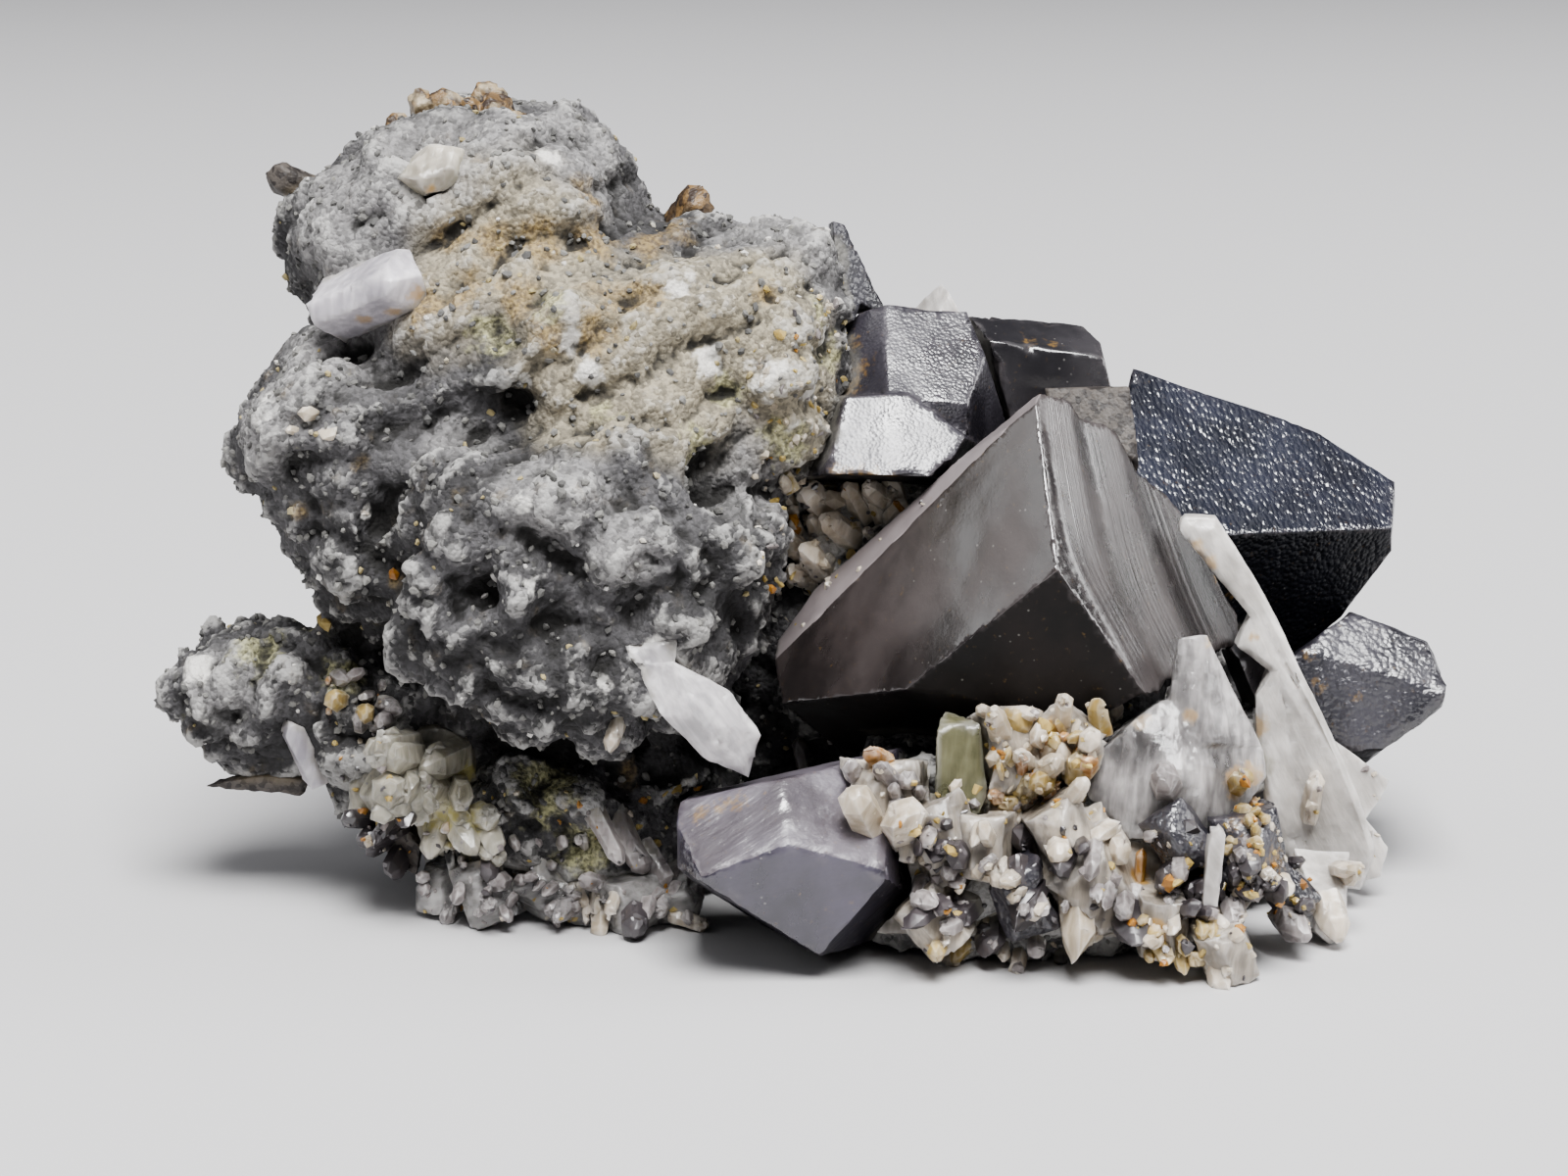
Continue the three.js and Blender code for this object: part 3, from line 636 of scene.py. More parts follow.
def celled(bm, cell):
    """Cuts flat faces into cells, so that wear and relief can shape them."""
    bmesh.ops.dissolve_limit(bm, angle_limit=math.radians(1), verts=bm.verts, edges=bm.edges)
    for axis in range(3):
        low, high = (pick(vert.co[axis] for vert in bm.verts) for pick in (min, max))
        for step in range(1, math.ceil((high - low) / cell)):
            plane = Vector()
            plane[axis] = 1
            bmesh.ops.bisect_plane(
                bm, geom=bm.verts[:] + bm.edges[:] + bm.faces[:], dist=ON_PLANE,
                plane_co=plane * (low + step * cell), plane_no=plane)


def sliced(bm, place, out):
    """Takes off what lies beyond a plane and closes the cut."""
    cut = bmesh.ops.bisect_plane(
        bm, geom=bm.verts[:] + bm.edges[:] + bm.faces[:], dist=ON_PLANE, plane_co=place, plane_no=out,
        clear_outer=True)["geom_cut"]
    bmesh.ops.holes_fill(bm, edges=[edge for edge in cut if isinstance(edge, bmesh.types.BMEdge)])


def marked_faces(bm, name, value):
    """Lays a number that comes from the normal on each face, for the material to read."""
    layer = bm.faces.layers.float.new(name)
    bm.normal_update()
    for face in bm.faces:
        face[layer] = value(face.normal)


def worn_crystal(bm, cell, wear, relief, chips=CHIP_DEPTH):
    """Rounds and chips a crystal's edges and lays a relief on its faces."""
    celled(bm, cell)
    # how far each face looks down; the material dulls these faces and paints them dark: painted shade
    marked_faces(bm, "under", lambda normal: max(0.0, -normal.z))
    edges = [edge for edge in bm.edges if edge.calc_face_angle(0) > math.radians(WORN_FROM)]
    rims = list({vert for edge in edges for vert in edge.verts})
    bm.normal_update()
    for vert in rims:
        chip = noise.noise(vert.co / CHIP_SIZE + CHIP_SHIFT)
        vert.co -= vert.normal * chips * rise(chip, *CHIPPED)
    smoothed(bm, rims, wear)
    bmesh.ops.triangulate(bm, faces=[face for face in bm.faces if len(face.verts) > 4])
    bm.normal_update()
    shifts = [vert.normal * relief(vert.co) for vert in bm.verts]
    for vert, shift in zip(bm.verts, shifts):
        vert.co += shift
        vert.co.z = max(vert.co.z, 0)
    return bm


def waves(place):
    return sum(height * noise.noise(place / size) for size, height in WAVES)


def seamed(thing):
    """Marks a crystal's edges, its rust, and the seam where the rock holds it."""
    bm = bmesh.new()
    bm.from_mesh(thing.data)
    turns = (max(edge.calc_face_angle(0) for edge in vert.link_edges) for vert in bm.verts)
    marked(thing, "edge", [rise(turn, *EDGE_TURN) for turn in turns])
    gaps = (rock_skin.find_nearest(vert.co / MM, SEAM)[3] for vert in bm.verts)
    marked(thing, "seam", [0 if gap is None else 1 - gap / SEAM for gap in gaps])
    marked(thing, "rust", nearness(places_of(thing), rust_spots))
    bm.free()


def cassiterite(name, deep, light, shine, relief, dust=0.25, dulled_and_shaded=(0.14, 0.23)):
    """Black shiny crystal with smudges, dull undersides that are also painted dark as shade, painted
    highlights on marked faces and along edges, and rock dust in its seams. The relief is a function of the
    finish that gives a height, and dulled says from where to where a face that looks down goes dull and is
    painted dark as shade."""
    black = Finish(name)
    smudge = black.cloud(3.2, 5, black.along((0.3, 0.2, 1), 2)).rise(0.32, 0.68)
    fine = black.cloud(0.5, 3)
    share = black.mark("under").rise(*dulled_and_shaded)
    # marked faces and the edges are painted lighter: painted highlight
    painted_highlight = black.mark("painted_highlight") * (0.6 + black.cloud(1.4, 4) * 0.6)
    painted_highlight += black.mark("edge") * black.cloud(0.7, 3).rise(0.35, 0.65) * 0.16
    colour = black.tint(smudge * 0.7 + fine * 0.3, deep, light)
    # faces that look down are painted near black: painted shade
    colour = black.tint(share * 0.7, colour, (0.004, 0.004, 0.004))
    colour = black.tint(painted_highlight * 0.65, colour, (0.4, 0.35, 0.355))
    rust = (black.mark("rust") * 0.8 + black.cloud(0.3, 4) * 2 - 1.25).rise(0, 0.6)
    colour = black.tint(rust * 0.6, colour, (0.25, 0.15, 0.045))
    dirt = (black.mark("seam") + black.cloud(0.6, 3) * 0.9 - 0.75).rise(0, 0.5) * dust * 2
    specks = (black.cells(0.55) * -1 + 1).rise(0.86, 0.93) * black.cloud(2.2).rise(0.5, 0.6)
    colour = black.tint(dirt, colour, (0.2, 0.19, 0.16))
    colour = black.tint(specks * 0.3, colour, (0.4, 0.39, 0.36))
    bump = black.bump(relief(black))
    low, high = shine
    rough = smudge * (high - low) + low + dirt * 0.4 + painted_highlight * 0.2
    bright = black.surface(Base_Color=colour, Roughness=rough, IOR=CASSITERITE_IOR, Normal=bump)
    dull = black.surface(Base_Color=colour, Roughness=rough + 0.15, IOR=DULL_IOR, Normal=bump)
    return black.done(black.node("MixShader", sockets={0: share, 1: bright, 2: dull}))


def faint(black):
    return black.cloud(0.9, 4) * 0.012 + black.cloud(0.16, 2) * 0.004


def banded(black):
    across = black.mark("band")
    lines = black.node("TexNoise", {"noise_dimensions": "1D"}, {"W": across * 3.2, "Detail": 4.0})
    return faint(black) + lines * across.rise(0.01, 0.3) * 0.04


def band_at(place):
    """How many millimetres of bands lie between a place on the banded face and the face's left edge.
    The bands widen downwards and turn round the lower corner."""
    along = (place - BAND_TURN).dot(BAND_RUN)
    across = (place - BAND_TURN).dot(BANDED.cross(BAND_RUN))
    bend = (math.sqrt(along * along + 2) + along) / 2
    return across * (1.2 - 0.04 * (along + 10)) - 2.0 * bend * math.exp(-max(across, 0) / 5)


def on_banded_face(place):
    return abs((place - BAND_TURN).dot(BANDED)) < 0.1


def bands(place):
    height = waves(place)
    if on_banded_face(place):
        across = band_at(place)
        step = (across / BAND_STEP + 0.3 * math.sin(across * 1.7)) % 1
        height += float(np.interp(across, *zip(*BANDS))) + BAND_STEP_HEIGHT * abs(step - 0.5)
    return height


main_black = cassiterite(
    "banded_cassiterite", (0.013, 0.011, 0.011), (0.065, 0.052, 0.05), (0.18, 0.42), banded)
main_crystal = copy_of("cassiterite_main")
sliced(main_crystal, BAND_TURN, BANDED)
sliced(main_crystal, *BEVEL)
# the bevel is painted lighter: painted highlight
marked_faces(main_crystal, "painted_highlight", lambda normal: rise(normal.dot(BEVEL[1]), 0.97, 0.99))
main_crystal = finished(
    worn_crystal(main_crystal, BAND_CELL, WEAR, bands, MAIN_CHIPS), "cassiterite_main_worn",
    "black_cassiterite", ["cassiterite_main"], main_black)
seamed(main_crystal)
marked(main_crystal, "band", [
    max(0.0, band_at(place)) if (place - BAND_TURN).dot(BANDED) > -0.35 else 0.0
    for place in map(Vector, places_of(main_crystal))])


# The other black cassiterite: an etched plate on the right, a stepped crystal on the left, a ridge
# and a blade behind, a rough lump at the right end and smaller crystals along the front ledge.


def etched(black):
    down = black.along((0.15, -0.55, -0.82), 2.4)
    return black.cells(0.26, place=down) * -0.09 + black.cloud(0.5, 3, down) * 0.09


def pitted(black):
    return black.cells(0.3) * -0.06 + black.cloud(0.7, 5) * 0.14


def speckled(black):
    return black.cells(0.18) * -0.022 + black.cloud(0.6, 4) * 0.03


def striped(black):
    return black.cloud(0.25, 3) * 0.012 + black.cloud(0.8, 4, black.along((0.8, 0.2, 0.5), 5)) * 0.13


smooth_black = cassiterite(
    "smooth_cassiterite", (0.012, 0.011, 0.013), (0.045, 0.041, 0.045), (0.16, 0.3), faint)
etched_black = cassiterite(
    "etched_cassiterite", (0.008, 0.009, 0.015), (0.024, 0.027, 0.045), (0.14, 0.22), etched)
rough_black = cassiterite(
    "rough_cassiterite", (0.01, 0.01, 0.014), (0.036, 0.033, 0.046), (0.24, 0.42), pitted, 0.3, (0.6, 0.9))
blue_black = cassiterite(
    "blue_cassiterite", (0.012, 0.01, 0.019), (0.075, 0.065, 0.098), (0.2, 0.5), striped)
dusty_black = cassiterite(
    "dusty_cassiterite", (0.012, 0.011, 0.015), (0.06, 0.055, 0.068), (0.2, 0.4), speckled)


def etch_relief(place):
    down = Vector((place.x, place.y * 0.6, place.z * 0.45))
    return waves(place) + 0.05 * noise.noise(down / 0.5)


def rippled(place):
    return waves(place) + 0.04 * noise.noise(place / 0.9)


def lumpy(place):
    return 0.2 * noise.noise(place / 2) + 0.06 * noise.noise(place / 0.7)


def set_in_rock(node, cell, wear, relief, look, slot="black_cassiterite", smooth=SHARP_FROM):
    thing = finished(
        worn_crystal(copy_of(node), cell, wear, relief), node + "_worn", slot, [node], look, smooth=smooth)
    seamed(thing)
    return thing


set_in_rock("cassiterite_upper_right", 0.36, 1, etch_relief, etched_black)
set_in_rock("cassiterite_upper_middle", 0.36, 1, rippled, dusty_black)
front_crystal = copy_of("cassiterite_front")
# faces that look up are painted a little lighter: painted light
marked_faces(front_crystal, "painted_highlight", lambda normal: rise(normal.z, 0.1, 0.3) * 0.3)
seamed(finished(
    worn_crystal(front_crystal, CELL, WEAR, rippled), "cassiterite_front_worn", "black_cassiterite",
    ["cassiterite_front"], blue_black))
set_in_rock("cassiterite_back_ridge", 0.36, 1, rippled, smooth_black)
set_in_rock("cassiterite_top_blade", 0.3, 1, waves, rough_black)
set_in_rock("cassiterite_small", 0.3, 1, waves, smooth_black)
set_in_rock("cassiterite_lower_right", 0.4, 2, lumpy, rough_black)
set_in_rock("cassiterite_back_left", 0.5, 2, waves, smooth_black)
set_in_rock("cassiterite_back_right", 0.5, 2, waves, rough_black)
set_in_rock("cassiterite_front_druse", 0.4, 2, lumpy, rough_black)
set_in_rock("cassiterite_front_small", 0.35, 2, lumpy, rough_black)


# The brown cassiterite: a matte granular step behind the main crystal, a resinous crystal low in
# the neck, and a thin flake under the left lobe. Iron and less tin make it brown.
resin = Finish("brown_cassiterite")
resin_grain = resin.cells(0.3, "Color")
mottle = (resin_grain + resin.cloud(1.2, 3)).rise(0.7, 1.2)
resin_colour = resin.tint(mottle, (0.02, 0.015, 0.013), (0.085, 0.072, 0.062))
resin_colour = resin.tint(resin.mark("seam").rise(0.5, 1) * 0.5, resin_colour, (0.2, 0.16, 0.1))
brown_look = resin.done(resin.surface(
    Base_Color=resin_colour, Roughness=0.45 + resin.cloud(0.8, 3) * 0.35, IOR=1.6,
    Normal=resin.bump(resin.cells(0.2) * -0.03 + resin.cloud(0.2, 3) * 0.05)))


def granular(place):
    return 0.09 * noise.noise(place / 0.6) + 0.07 * noise.noise(place / 0.35)


for name in ("cassiterite_foot", "brown_flake"):
    set_in_rock(name, 0.3, 2, granular, brown_look, "brown_cassiterite")
set_in_rock("cassiterite_brown_step", 0.3, 2, waves, brown_look, "brown_cassiterite")


# The quartz: milky blades and points, some clear enough to see into, with iron stains along their
# seams. It grew after the cassiterite, into the room that was left.
QUARTZ_IOR = 1.55
ABSORPTION = 120.0
QUARTZ_CELL = 0.36
QUARTZ_SHARP_FROM = 28
TOP_SMALL_SQUASH = (1.3, 1, 0.78)


def quartz(name, pale, deep, clear, cloudiness, stain=0.6, stain_colour=(0.45, 0.27, 0.07),
           lie=(0.1, 0.2, 1)):
    """Quartz that is clear in parts and milky in parts, the more so with cloudiness, with stained
    seams and streaks that lie along its length."""
    glass = Finish(name)
    low, high = cloudiness
    veil = glass.cloud(3.2, 3).rise(0.3, 0.7)
    streak = glass.cloud(0.5, 3, glass.along(lie, 5)).rise(0.35, 0.68)
    milk = (veil * 0.7 + streak * 0.3) * (high - low) + low
    colour = glass.tint(veil * 0.6 + streak * 0.4, deep, pale)
    grime = (glass.mark("seam") + glass.cloud(0.9, 4) * 1.2 - 1.1).rise(0, 0.5)
    rust = (glass.mark("rust") + glass.cloud(0.5, 4) * 1.1 - 0.75).rise(0, 0.45) * stain
    colour = glass.tint(grime * stain, colour, (0.26, 0.24, 0.18))
    colour = glass.tint(rust, colour, stain_colour)
    # edges are painted whiter: painted highlight
    colour = glass.tint(glass.mark("edge") * 0.3, colour, (0.8, 0.78, 0.77))
    bump = glass.bump(streak * 0.02 + glass.cells(0.6) * 0.025 + glass.cloud(0.3, 3) * 0.02)
    rough = 0.15 + glass.cloud(1.1, 3) * 0.25
    milky = glass.surface(
        Base_Color=colour, Roughness=rough + 0.08, IOR=QUARTZ_IOR, Normal=bump,
        Subsurface_Weight=0.5, Subsurface_Radius=(1.0, 0.95, 0.9), Subsurface_Scale=0.6 * MM)
    limpid = glass.surface(
        Base_Color=clear, Roughness=0.12, IOR=QUARTZ_IOR, Normal=bump, Transmission_Weight=1.0)
    stained = grime * stain + rust
    share = milk + stained - milk * stained
    return glass.done(
        glass.node("MixShader", sockets={0: share, 1: limpid, 2: milky}),
        glass.node("VolumeAbsorption", sockets={"Color": clear, "Density": ABSORPTION}))


def glassy(place):
    return 0.07 * noise.noise(place / 1.4) + 0.03 * noise.noise(place / 0.5)


def crackled(place):
    return 0.14 * noise.noise(place / 1.2) + 0.08 * noise.noise(place / 0.45)


lilac_look = quartz(
    "lilac_quartz", (0.7, 0.67, 0.7), (0.5, 0.47, 0.52), (0.9, 0.89, 0.93, 1), (0.6, 1.0))
lens_look = quartz(
    "lens_quartz", (0.78, 0.75, 0.75), (0.48, 0.46, 0.48), (0.9, 0.9, 0.93, 1), (0.5, 1.0),
    lie=(0.55, 0.1, -0.8))
milky_look = quartz(
    "milky_quartz", (0.72, 0.69, 0.66), (0.5, 0.47, 0.44), (0.88, 0.89, 0.86, 1), (0.7, 1.0),
    lie=(0.45, 0, -0.9))
cream_look = quartz(
    "cream_quartz", (0.7, 0.65, 0.56), (0.44, 0.4, 0.33), (0.9, 0.88, 0.82, 1), (0.6, 1.0), 0.8)
clear_look = quartz(
    "clear_quartz", (0.64, 0.61, 0.6), (0.3, 0.28, 0.28), (0.88, 0.9, 0.9, 1), (0.15, 0.8))
yellow_look = quartz(
    "yellow_quartz", (0.68, 0.64, 0.54), (0.45, 0.42, 0.33), (0.93, 0.92, 0.84, 1), (0.25, 0.85), 0.75,
    (0.4, 0.35, 0.08))
crust_look = quartz(
    "crust_quartz", (0.68, 0.66, 0.64), (0.42, 0.4, 0.39), (0.9, 0.92, 0.92, 1), (0.15, 0.75),
    lie=(1, 0, 0.3))
olive_look = quartz(
    "olive_quartz", (0.24, 0.23, 0.14), (0.12, 0.12, 0.06), (0.82, 0.82, 0.6, 1), (0.3, 0.8))
druse_look = quartz(
    "druse_quartz", (0.56, 0.5, 0.42), (0.22, 0.19, 0.16), (0.88, 0.87, 0.82, 1), (0.5, 1.0), 0.9)


def set_quartz(name, look, relief=glassy, wear=1, cell=QUARTZ_CELL, slot="milky_quartz"):
    set_in_rock("quartz_" + name, cell, wear, relief, look, slot, QUARTZ_SHARP_FROM)


for name in ("top_long", "sliver", "back"):
    set_quartz(name, lilac_look)
top_small = copy_of("quartz_top_small")
middle = sum((vert.co for vert in top_small.verts), Vector()) / len(top_small.verts)
bmesh.ops.scale(top_small, vec=TOP_SMALL_SQUASH, space=Matrix.Translation(-middle), verts=top_small.verts)
seamed(finished(
    worn_crystal(top_small, QUARTZ_CELL, 2, crackled), "quartz_top_small_worn", "milky_quartz",
    ["quartz_top_small"], cream_look, QUARTZ_SHARP_FROM))
set_quartz("lens", lens_look)
for name in ("blade", "right_teeth", "right_foot", "needle", "back_spike"):
    set_quartz(name, milky_look)
set_quartz("front_druse", druse_look, crackled, cell=0.4)
set_quartz("point", clear_look, wear=2)
set_quartz("foot", crust_look, crackled, 2)
set_quartz("yellow_cluster", yellow_look, crackled, 2, 0.3, "yellow_quartz")
set_quartz("olive", olive_look, wear=2, slot="yellow_quartz")


# The ochre minerals: a crust of golden crystals along the top edge, and two spurs at the outline.
rusty = Finish("ochre_mineral")
rust_colour = rusty.tint(rusty.cells(0.4, "Color").rise(0.2, 0.8), (0.035, 0.02, 0.012), (0.22, 0.135, 0.055))
rust_colour = rusty.tint(rusty.cloud(1.6, 3).rise(0.5, 0.65) * 0.8, rust_colour, (0.42, 0.35, 0.24))
ochre_look = rusty.done(rusty.surface(
    Base_Color=rust_colour, Roughness=0.35 + rusty.cloud(0.7, 3) * 0.3, IOR=1.7,
    Normal=rusty.bump(rusty.cells(0.35) * -0.06 + rusty.cloud(0.2, 3) * 0.08)))
for name in ("golden_crust", "ochre_spur"):
    set_in_rock(name, 0.28, 2, granular, ochre_look, "ochre_mineral")
set_in_rock("brown_spur", 0.28, 2, granular, brown_look, "ochre_mineral")


# Small crystals on the front ledge, the foot, the neck and the yellow cluster: points of pale, clear
# and stained quartz with black cassiterite among them, each rooted in what it grew on.

# kind: pixel of each crystal, width, length, and the azimuth and elevation that it grows towards
PLACED = {
    "pale": (
        (885, 838, 2.2, 4.6, -22, 42), (925, 842, 2.9, 3.6, -8, 25), (1100, 925, 2.8, 4.0, 5, -55),
        (1140, 864, 1.9, 2.2, 0, 5), (1241, 985, 1.5, 2.6, 15, -50), (1007, 852, 1.3, 2.0, -15, 30),
        (1338, 822, 1.8, 3.4, 5, 62), (1355, 925, 1.9, 2.6, 15, -35), (632, 735, 1.0, 2.6, -30, -50),
        (612, 932, 1.4, 2.2, 0, -40), (695, 936, 1.0, 2.6, 60, -10), (842, 586, 1.8, 4.6, -30, 40),
        (845, 520, 1.8, 4.6, -35, 35), (905, 513, 1.3, 4.6, -30, 30), (868, 548, 1.6, 4.4, -35, 30),
        (815, 560, 1.5, 3.6, -35, 30), (880, 522, 1.4, 4.0, -30, 45), (825, 590, 1.4, 3.4, -35, 20),
        (1020, 745, 1.3, 2.2, -25, 50), (1080, 865, 1.5, 2.2, 0, 0), (1085, 730, 1.2, 2.2, 0, 60),
    ),
    "yellow": (
        (345, 715, 1.3, 1.8, -10, 20), (372, 728, 1.3, 1.8, 10, 10), (1180, 952, 1.6, 2.0, -10, 0),
        (957, 968, 1.2, 1.6, -10, 0), (1205, 962, 1.2, 1.6, 10, 0), (1262, 800, 1.3, 2.4, 10, 30),
    ),
    "orange": (
        (1163, 898, 1.0, 2.8, 10, 80), (1108, 782, 1.4, 2.0, 0, 30), (900, 775, 1.2, 2.0, -40, 30),
        (1018, 812, 1.1, 1.6, -10, 20),
    ),
    "grey": (
        (635, 845, 1.4, 4.4, 50, -55), (612, 838, 1.2, 3.8, 45, -50), (662, 870, 1.3, 3.4, 50, -45),
        (360, 690, 1.2, 1.8, 20, 20), (395, 720, 1.2, 1.8, 30, 0), (385, 742, 1.1, 1.6, 10, 20),
        (1315, 936, 2.0, 2.4, 10, -10), (1190, 800, 1.8, 3.0, -10, 30), (820, 775, 1.4, 2.2, -20, 60),
    ),
    "cluster": (
        (470, 845, 1.9, 2.6, 20, -20), (490, 832, 1.5, 2.0, 40, 0), (445, 850, 1.5, 2.0, -20, -40),
        (500, 850, 1.4, 1.8, 30, -40),
    ),
    "black": (
        (1050, 925, 3.0, 2.8, -10, -10), (985, 925, 2.0, 2.6, -25, -15), (1010, 950, 2.0, 2.4, 0, -20),
        (1150, 935, 2.2, 2.6, 10, -25), (945, 930, 1.6, 2.4, -30, -10), (648, 936, 1.9, 1.8, 0, -20),
        (390, 850, 1.8, 2.6, -30, 0), (372, 835, 1.5, 2.4, -40, 10), (410, 875, 1.6, 2.4, -20, -20),
        (978, 872, 1.8, 1.8, -10, 10), (1042, 855, 1.8, 1.8, 0, 10), (1196, 892, 1.9, 2.2, -20, 0),
        (1268, 900, 1.8, 2.2, 20, 0), (500, 885, 1.4, 1.8, 0, 0), (1297, 905, 1.6, 2.0, 20, 0),
    ),
}
# kind: corners of a patch in the frame, how many crystals, the least and most width, and the azimuth
# and elevation that they grow towards, more or less
GROWN = {
    "pale": (
        ((1004, 722, 1140, 835), 16, 0.8, 1.6, 0, 45), ((1290, 790, 1375, 900), 12, 0.8, 1.6, 25, 10),
        ((930, 845, 1160, 1000), 16, 0.7, 1.4, 0, -10), ((1165, 930, 1260, 1000), 8, 0.7, 1.3, 10, -30),
        ((585, 905, 630, 948), 6, 0.7, 1.2, 0, -50), ((800, 490, 960, 610), 34, 0.6, 1.5, -10, 40),
    ),
    "yellow": (
        ((1010, 730, 1130, 825), 22, 0.6, 1.4, 0, 45), ((1240, 780, 1300, 870), 16, 0.6, 1.2, 15, 20),
        ((1165, 935, 1240, 985), 8, 0.6, 1.1, 0, -10),
        ((930, 940, 1100, 1000), 8, 0.6, 1.1, -10, -20), ((800, 490, 940, 610), 12, 0.5, 1.0, -10, 40),
    ),
    "orange": (
        ((1040, 745, 1135, 815), 14, 0.5, 1.0, 0, 40), ((1245, 790, 1290, 860), 5, 0.5, 0.9, 10, 20),
        ((335, 695, 395, 745), 2, 0.5, 0.8, 10, 20),
    ),
    "grey": (
        ((430, 895, 615, 940), 26, 0.5, 1.2, -5, 0), ((440, 840, 600, 900), 16, 0.4, 0.9, 0, 20),
        ((930, 850, 1160, 1005), 26, 0.8, 1.5, 0, -15),
        ((1170, 850, 1290, 940), 12, 0.8, 1.4, 5, 0), ((340, 690, 400, 760), 8, 0.7, 1.2, 10, 10),
        ((860, 780, 950, 880), 8, 0.7, 1.3, -20, 30), ((640, 900, 720, 945), 6, 0.7, 1.2, 10, -30),
    ),
    "black": (
        ((930, 850, 1160, 990), 12, 0.8, 1.6, 0, -10), ((1175, 850, 1290, 940), 10, 0.8, 1.5, 5, 0),
        ((360, 820, 440, 895), 12, 0.8, 1.6, -30, -5), ((1290, 880, 1340, 955), 6, 0.7, 1.2, 10, 0),
    ),
    "cluster": (
        ((392, 755, 474, 828), 16, 1.4, 2.4, -10, 15), ((430, 815, 500, 865), 10, 0.6, 1.3, 20, -20),
    ),
}
WOBBLE = 0.5
CRYSTAL_CELL = 0.3
BOX_MARGIN = 0.12
# shares of a point's length: what is rooted, and its shaft
ROOTED = 0.35
SHAFT = 0.7
# shares of its width: its thinnest, its radius at the shoulder, the cut of the tip, its rise and lean
THINNEST = 0.6
SHOULDER = 0.43
TIP_CUT = 0.27
TIP_RISE = 0.35
TIP_LEAN = 0.12


def add_point(bm, root, out, width, length, dice):
    """Adds a six-sided point with its tip off the middle. Its root is sunk into what carries it, and the
    point is moved sideways as far as keeps it inside the CAD model's box."""
    before = len(bm.verts)
    turn = out.to_track_quat("Z", "Y").to_matrix().to_4x4() @ Matrix.Rotation(dice.uniform(0, 2), 4, "Z")
    place = Matrix.Translation(root + out * length * (0.5 - ROOTED)) @ turn
    squash = Matrix.Diagonal((1, dice.uniform(THINNEST, 1), 1, 1))
    verts = bmesh.ops.create_cone(
        bm, cap_ends=True, segments=6, radius1=width / 2, radius2=width * SHOULDER,
        depth=length * SHAFT, matrix=place @ squash)["verts"]
    end = max({face for vert in verts for face in vert.link_faces},
              key=lambda face: face.calc_center_median().dot(out))
    bmesh.ops.inset_individual(bm, faces=[end], thickness=width * TIP_CUT)
    lean = place.to_3x3() @ Vector(dice.uniform(-TIP_LEAN, TIP_LEAN, 3)) * width
    bmesh.ops.translate(bm, vec=out * width * TIP_RISE + lean, verts=end.verts)
    verts = list(bm.verts)[before:]
    places = np.array([vert.co for vert in verts])
    low, high = (np.array(corner) / MM for corner in cad_box)
    back = np.maximum(low - places.min(0) + BOX_MARGIN, 0) - np.maximum(places.max(0) - high + BOX_MARGIN, 0)
    bmesh.ops.translate(bm, vec=(back[0], back[1], 0), verts=verts)


def built_skin():
    """The surface of all that is built so far."""
    bm = bmesh.new()
    for thing in pieces:
        bm.from_mesh(thing.data)
    bmesh.ops.scale(bm, vec=(1 / MM,) * 3, verts=bm.verts)
    skin = BVHTree.FromBMesh(bm)
    bm.free()
    return skin


grain_black = cassiterite(
    "grain_cassiterite", (0.012, 0.01, 0.012), (0.058, 0.047, 0.052), (0.3, 0.5), faint, 0.4, (0.5, 1.2))
pale_grain = quartz(
    "pale_grain_quartz", (0.78, 0.7, 0.6), (0.52, 0.43, 0.31), (0.9, 0.88, 0.82, 1), (0.6, 1.0), 0.7)
grey_grain = quartz(
    "grey_grain_quartz", (0.4, 0.36, 0.35), (0.17, 0.15, 0.15), (0.84, 0.83, 0.82, 1), (0.65, 1.0))
yellow_grain = quartz(
    "yellow_grain_quartz", (0.6, 0.46, 0.2), (0.38, 0.27, 0.08), (0.92, 0.86, 0.6, 1), (0.6, 1.0))
orange_grain = quartz(
    "orange_grain_quartz", (0.52, 0.26, 0.05), (0.3, 0.13, 0.03), (0.9, 0.7, 0.4, 1), (0.7, 1.0))
grain_looks = {
    "pale": ("milky_quartz", pale_grain),
    "grey": ("milky_quartz", grey_grain),
    "yellow": ("yellow_quartz", yellow_grain),
    "orange": ("ochre_mineral", orange_grain),
    "black": ("black_cassiterite", grain_black),
    "cluster": ("yellow_quartz", yellow_look),
}
# the faces of these stay clear of small crystals and grains
SHINY = ("main", "upper_right", "upper_middle", "lower_right", "front", "back_ridge", "small")
SMOOTH = ("blade", "point", "needle")
bare = skin_of(*("cassiterite_" + name for name in SHINY), *("quartz_" + name for name in SMOOTH))
CLEAR_OF = 0.3
ledge_skin = built_skin()
dice = np.random.default_rng(5)
for kind, (slot, look) in grain_looks.items():
    bm = bmesh.new()
    for u, v, width, length, azimuth, elevation in PLACED.get(kind, ()):
        root = seen(u, v, ledge_skin)[0]
        if root:
            add_point(bm, root, toward(azimuth, elevation), width, length, dice)
    for (left, top, right, bottom), count, least, most, azimuth, elevation in GROWN.get(kind, ()):
        for _ in range(count):
            root = seen(dice.uniform(left, right), dice.uniform(top, bottom), ledge_skin)[0]
            out = toward(azimuth, elevation) + Vector(dice.uniform(-WOBBLE, WOBBLE, 3))
            width = dice.uniform(least, most)
            if root and bare.find_nearest(root, CLEAR_OF)[0] is None:
                add_point(bm, root, out.normalized(), width, width * dice.uniform(1.2, 2), dice)
    thing = finished(
        worn_crystal(bm, CRYSTAL_CELL, 1, glassy), kind + "_small_crystals", slot, [], look,
        QUARTZ_SHARP_FROM)
    seamed(thing)


# Grains between the small crystals and on the rock beside them: chips and stubby points of quartz,
# ochre crusts and black grains.

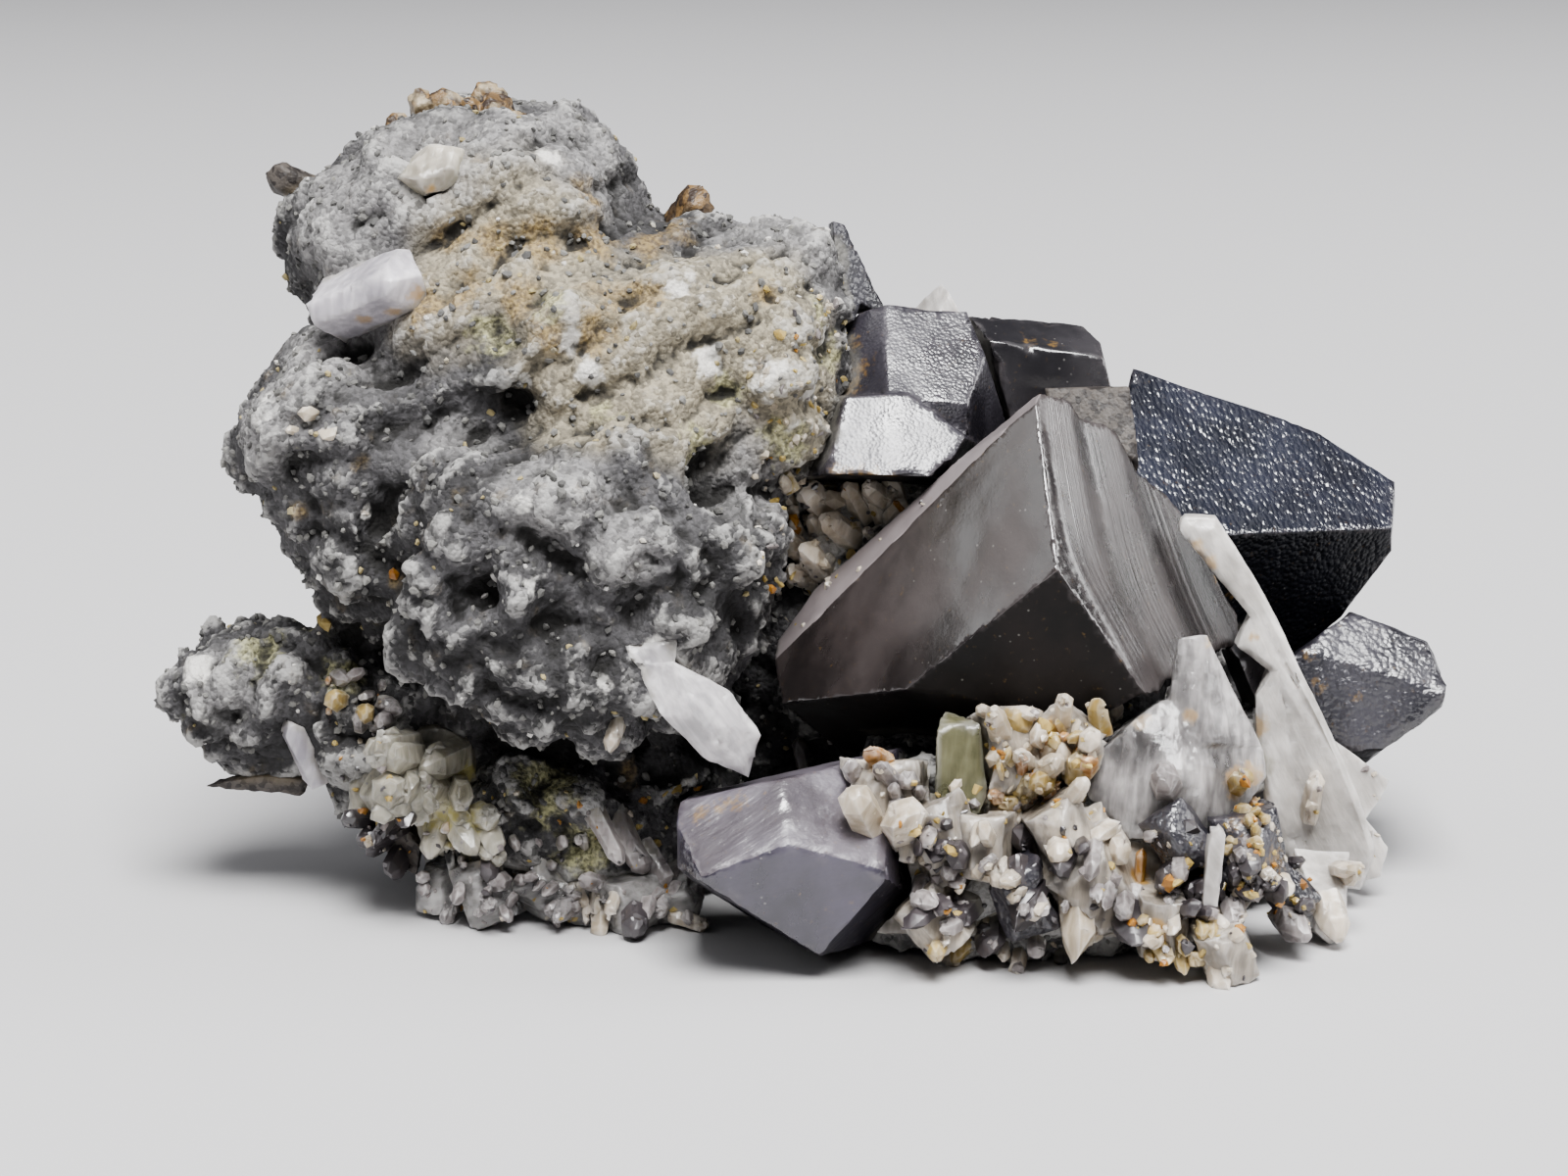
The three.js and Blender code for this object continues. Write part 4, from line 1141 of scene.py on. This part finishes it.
# corners of a patch in the frame, how many grains, their sizes, and the shares of pale, grey,
# yellow, orange and black among them
PATCHES = (
    ((1004, 715, 1144, 838), 90, (0.15, 0.45), (0.4, 0.1, 0.3, 0.18, 0.02)),
    ((880, 785, 1000, 900), 30, (0.15, 0.4), (0.4, 0.2, 0.25, 0.05, 0.1)),
    ((930, 840, 1160, 1010), 70, (0.15, 0.45), (0.15, 0.35, 0.15, 0.05, 0.3)),
    ((1240, 770, 1345, 965), 100, (0.15, 0.4), (0.3, 0.15, 0.25, 0.2, 0.1)),
    ((1150, 840, 1290, 1012), 60, (0.15, 0.45), (0.15, 0.25, 0.2, 0.1, 0.3)),
    ((770, 290, 862, 600), 130, (0.12, 0.36), (0.5, 0.1, 0.3, 0.05, 0.05)),
    ((790, 430, 1000, 640), 120, (0.15, 0.42), (0.5, 0.1, 0.2, 0.1, 0.1)),
    ((400, 800, 700, 955), 90, (0.12, 0.35), (0.1, 0.4, 0.2, 0.1, 0.2)),
    ((330, 690, 400, 880), 40, (0.12, 0.35), (0.1, 0.3, 0.2, 0.1, 0.3)),
    ((690, 800, 760, 860), 10, (0.15, 0.35), (0.1, 0.1, 0.4, 0.4, 0.0)),
    ((1375, 720, 1420, 900), 30, (0.2, 0.4), (0.7, 0.15, 0.15, 0.0, 0.0)),
)
# pixel, size and kind of the grains that stand out one by one
SINGLES = (
    (335, 442, 0.42, 0), (316, 423, 0.45, 0), (300, 440, 0.35, 0), (372, 522, 0.4, 0), (849, 513, 0.5, 0),
    (767, 970, 0.5, 0), (733, 253, 0.25, 0), (403, 587, 0.3, 3), (788, 603, 0.4, 3), (1008, 885, 0.35, 0),
    (982, 905, 0.35, 0), (330, 636, 0.5, 2), (912, 503, 0.4, 0), (838, 575, 0.4, 0), (845, 592, 0.4, 0),
)
GRAIN_SINK = 0.35
SMALLER = 2.2


def point_shapes(count):
    """Stubby six-sided points, whose tips look out."""
    bm = bmesh.new()
    add_point(bm, Vector(), Vector((0, 0, 1)), 1.2, 2.2, np.random.default_rng(1))
    shapes = [jagged(bm, 0.1, seed) for seed in range(count)]
    bm.free()
    return shapes


grain_kinds = ("pale", "grey", "yellow", "orange", "black")
ledge_skin = built_skin()
dice = np.random.default_rng(11)
spots = [[] for _ in grain_kinds]
for (left, top, right, bottom), count, (least, most), shares in PATCHES:
    for _ in range(count):
        place, out = seen(dice.uniform(left, right), dice.uniform(top, bottom), ledge_skin)
        size = least + (most - least) * dice.random() ** SMALLER
        kind = dice.choice(len(grain_kinds), p=np.array(shares) / sum(shares))
        if place and bare.find_nearest(place, CLEAR_OF)[0] is None:
            spots[kind].append((place - out * size * GRAIN_SINK, out, size))
for u, v, size, kind in SINGLES:
    place, out = seen(u, v, ledge_skin)
    if place:
        spots[kind].append((place - out * size * GRAIN_SINK, out, size))
shapes = grain_shapes(5) + point_shapes(3)
for seed, (found, kind) in enumerate(zip(spots, grain_kinds)):
    slot, look = grain_looks[kind]
    finished(strewn(kind + "_grains", shapes, found, seed), kind + "_grains", slot, [], look,
             GRAIN_SHARP_FROM)
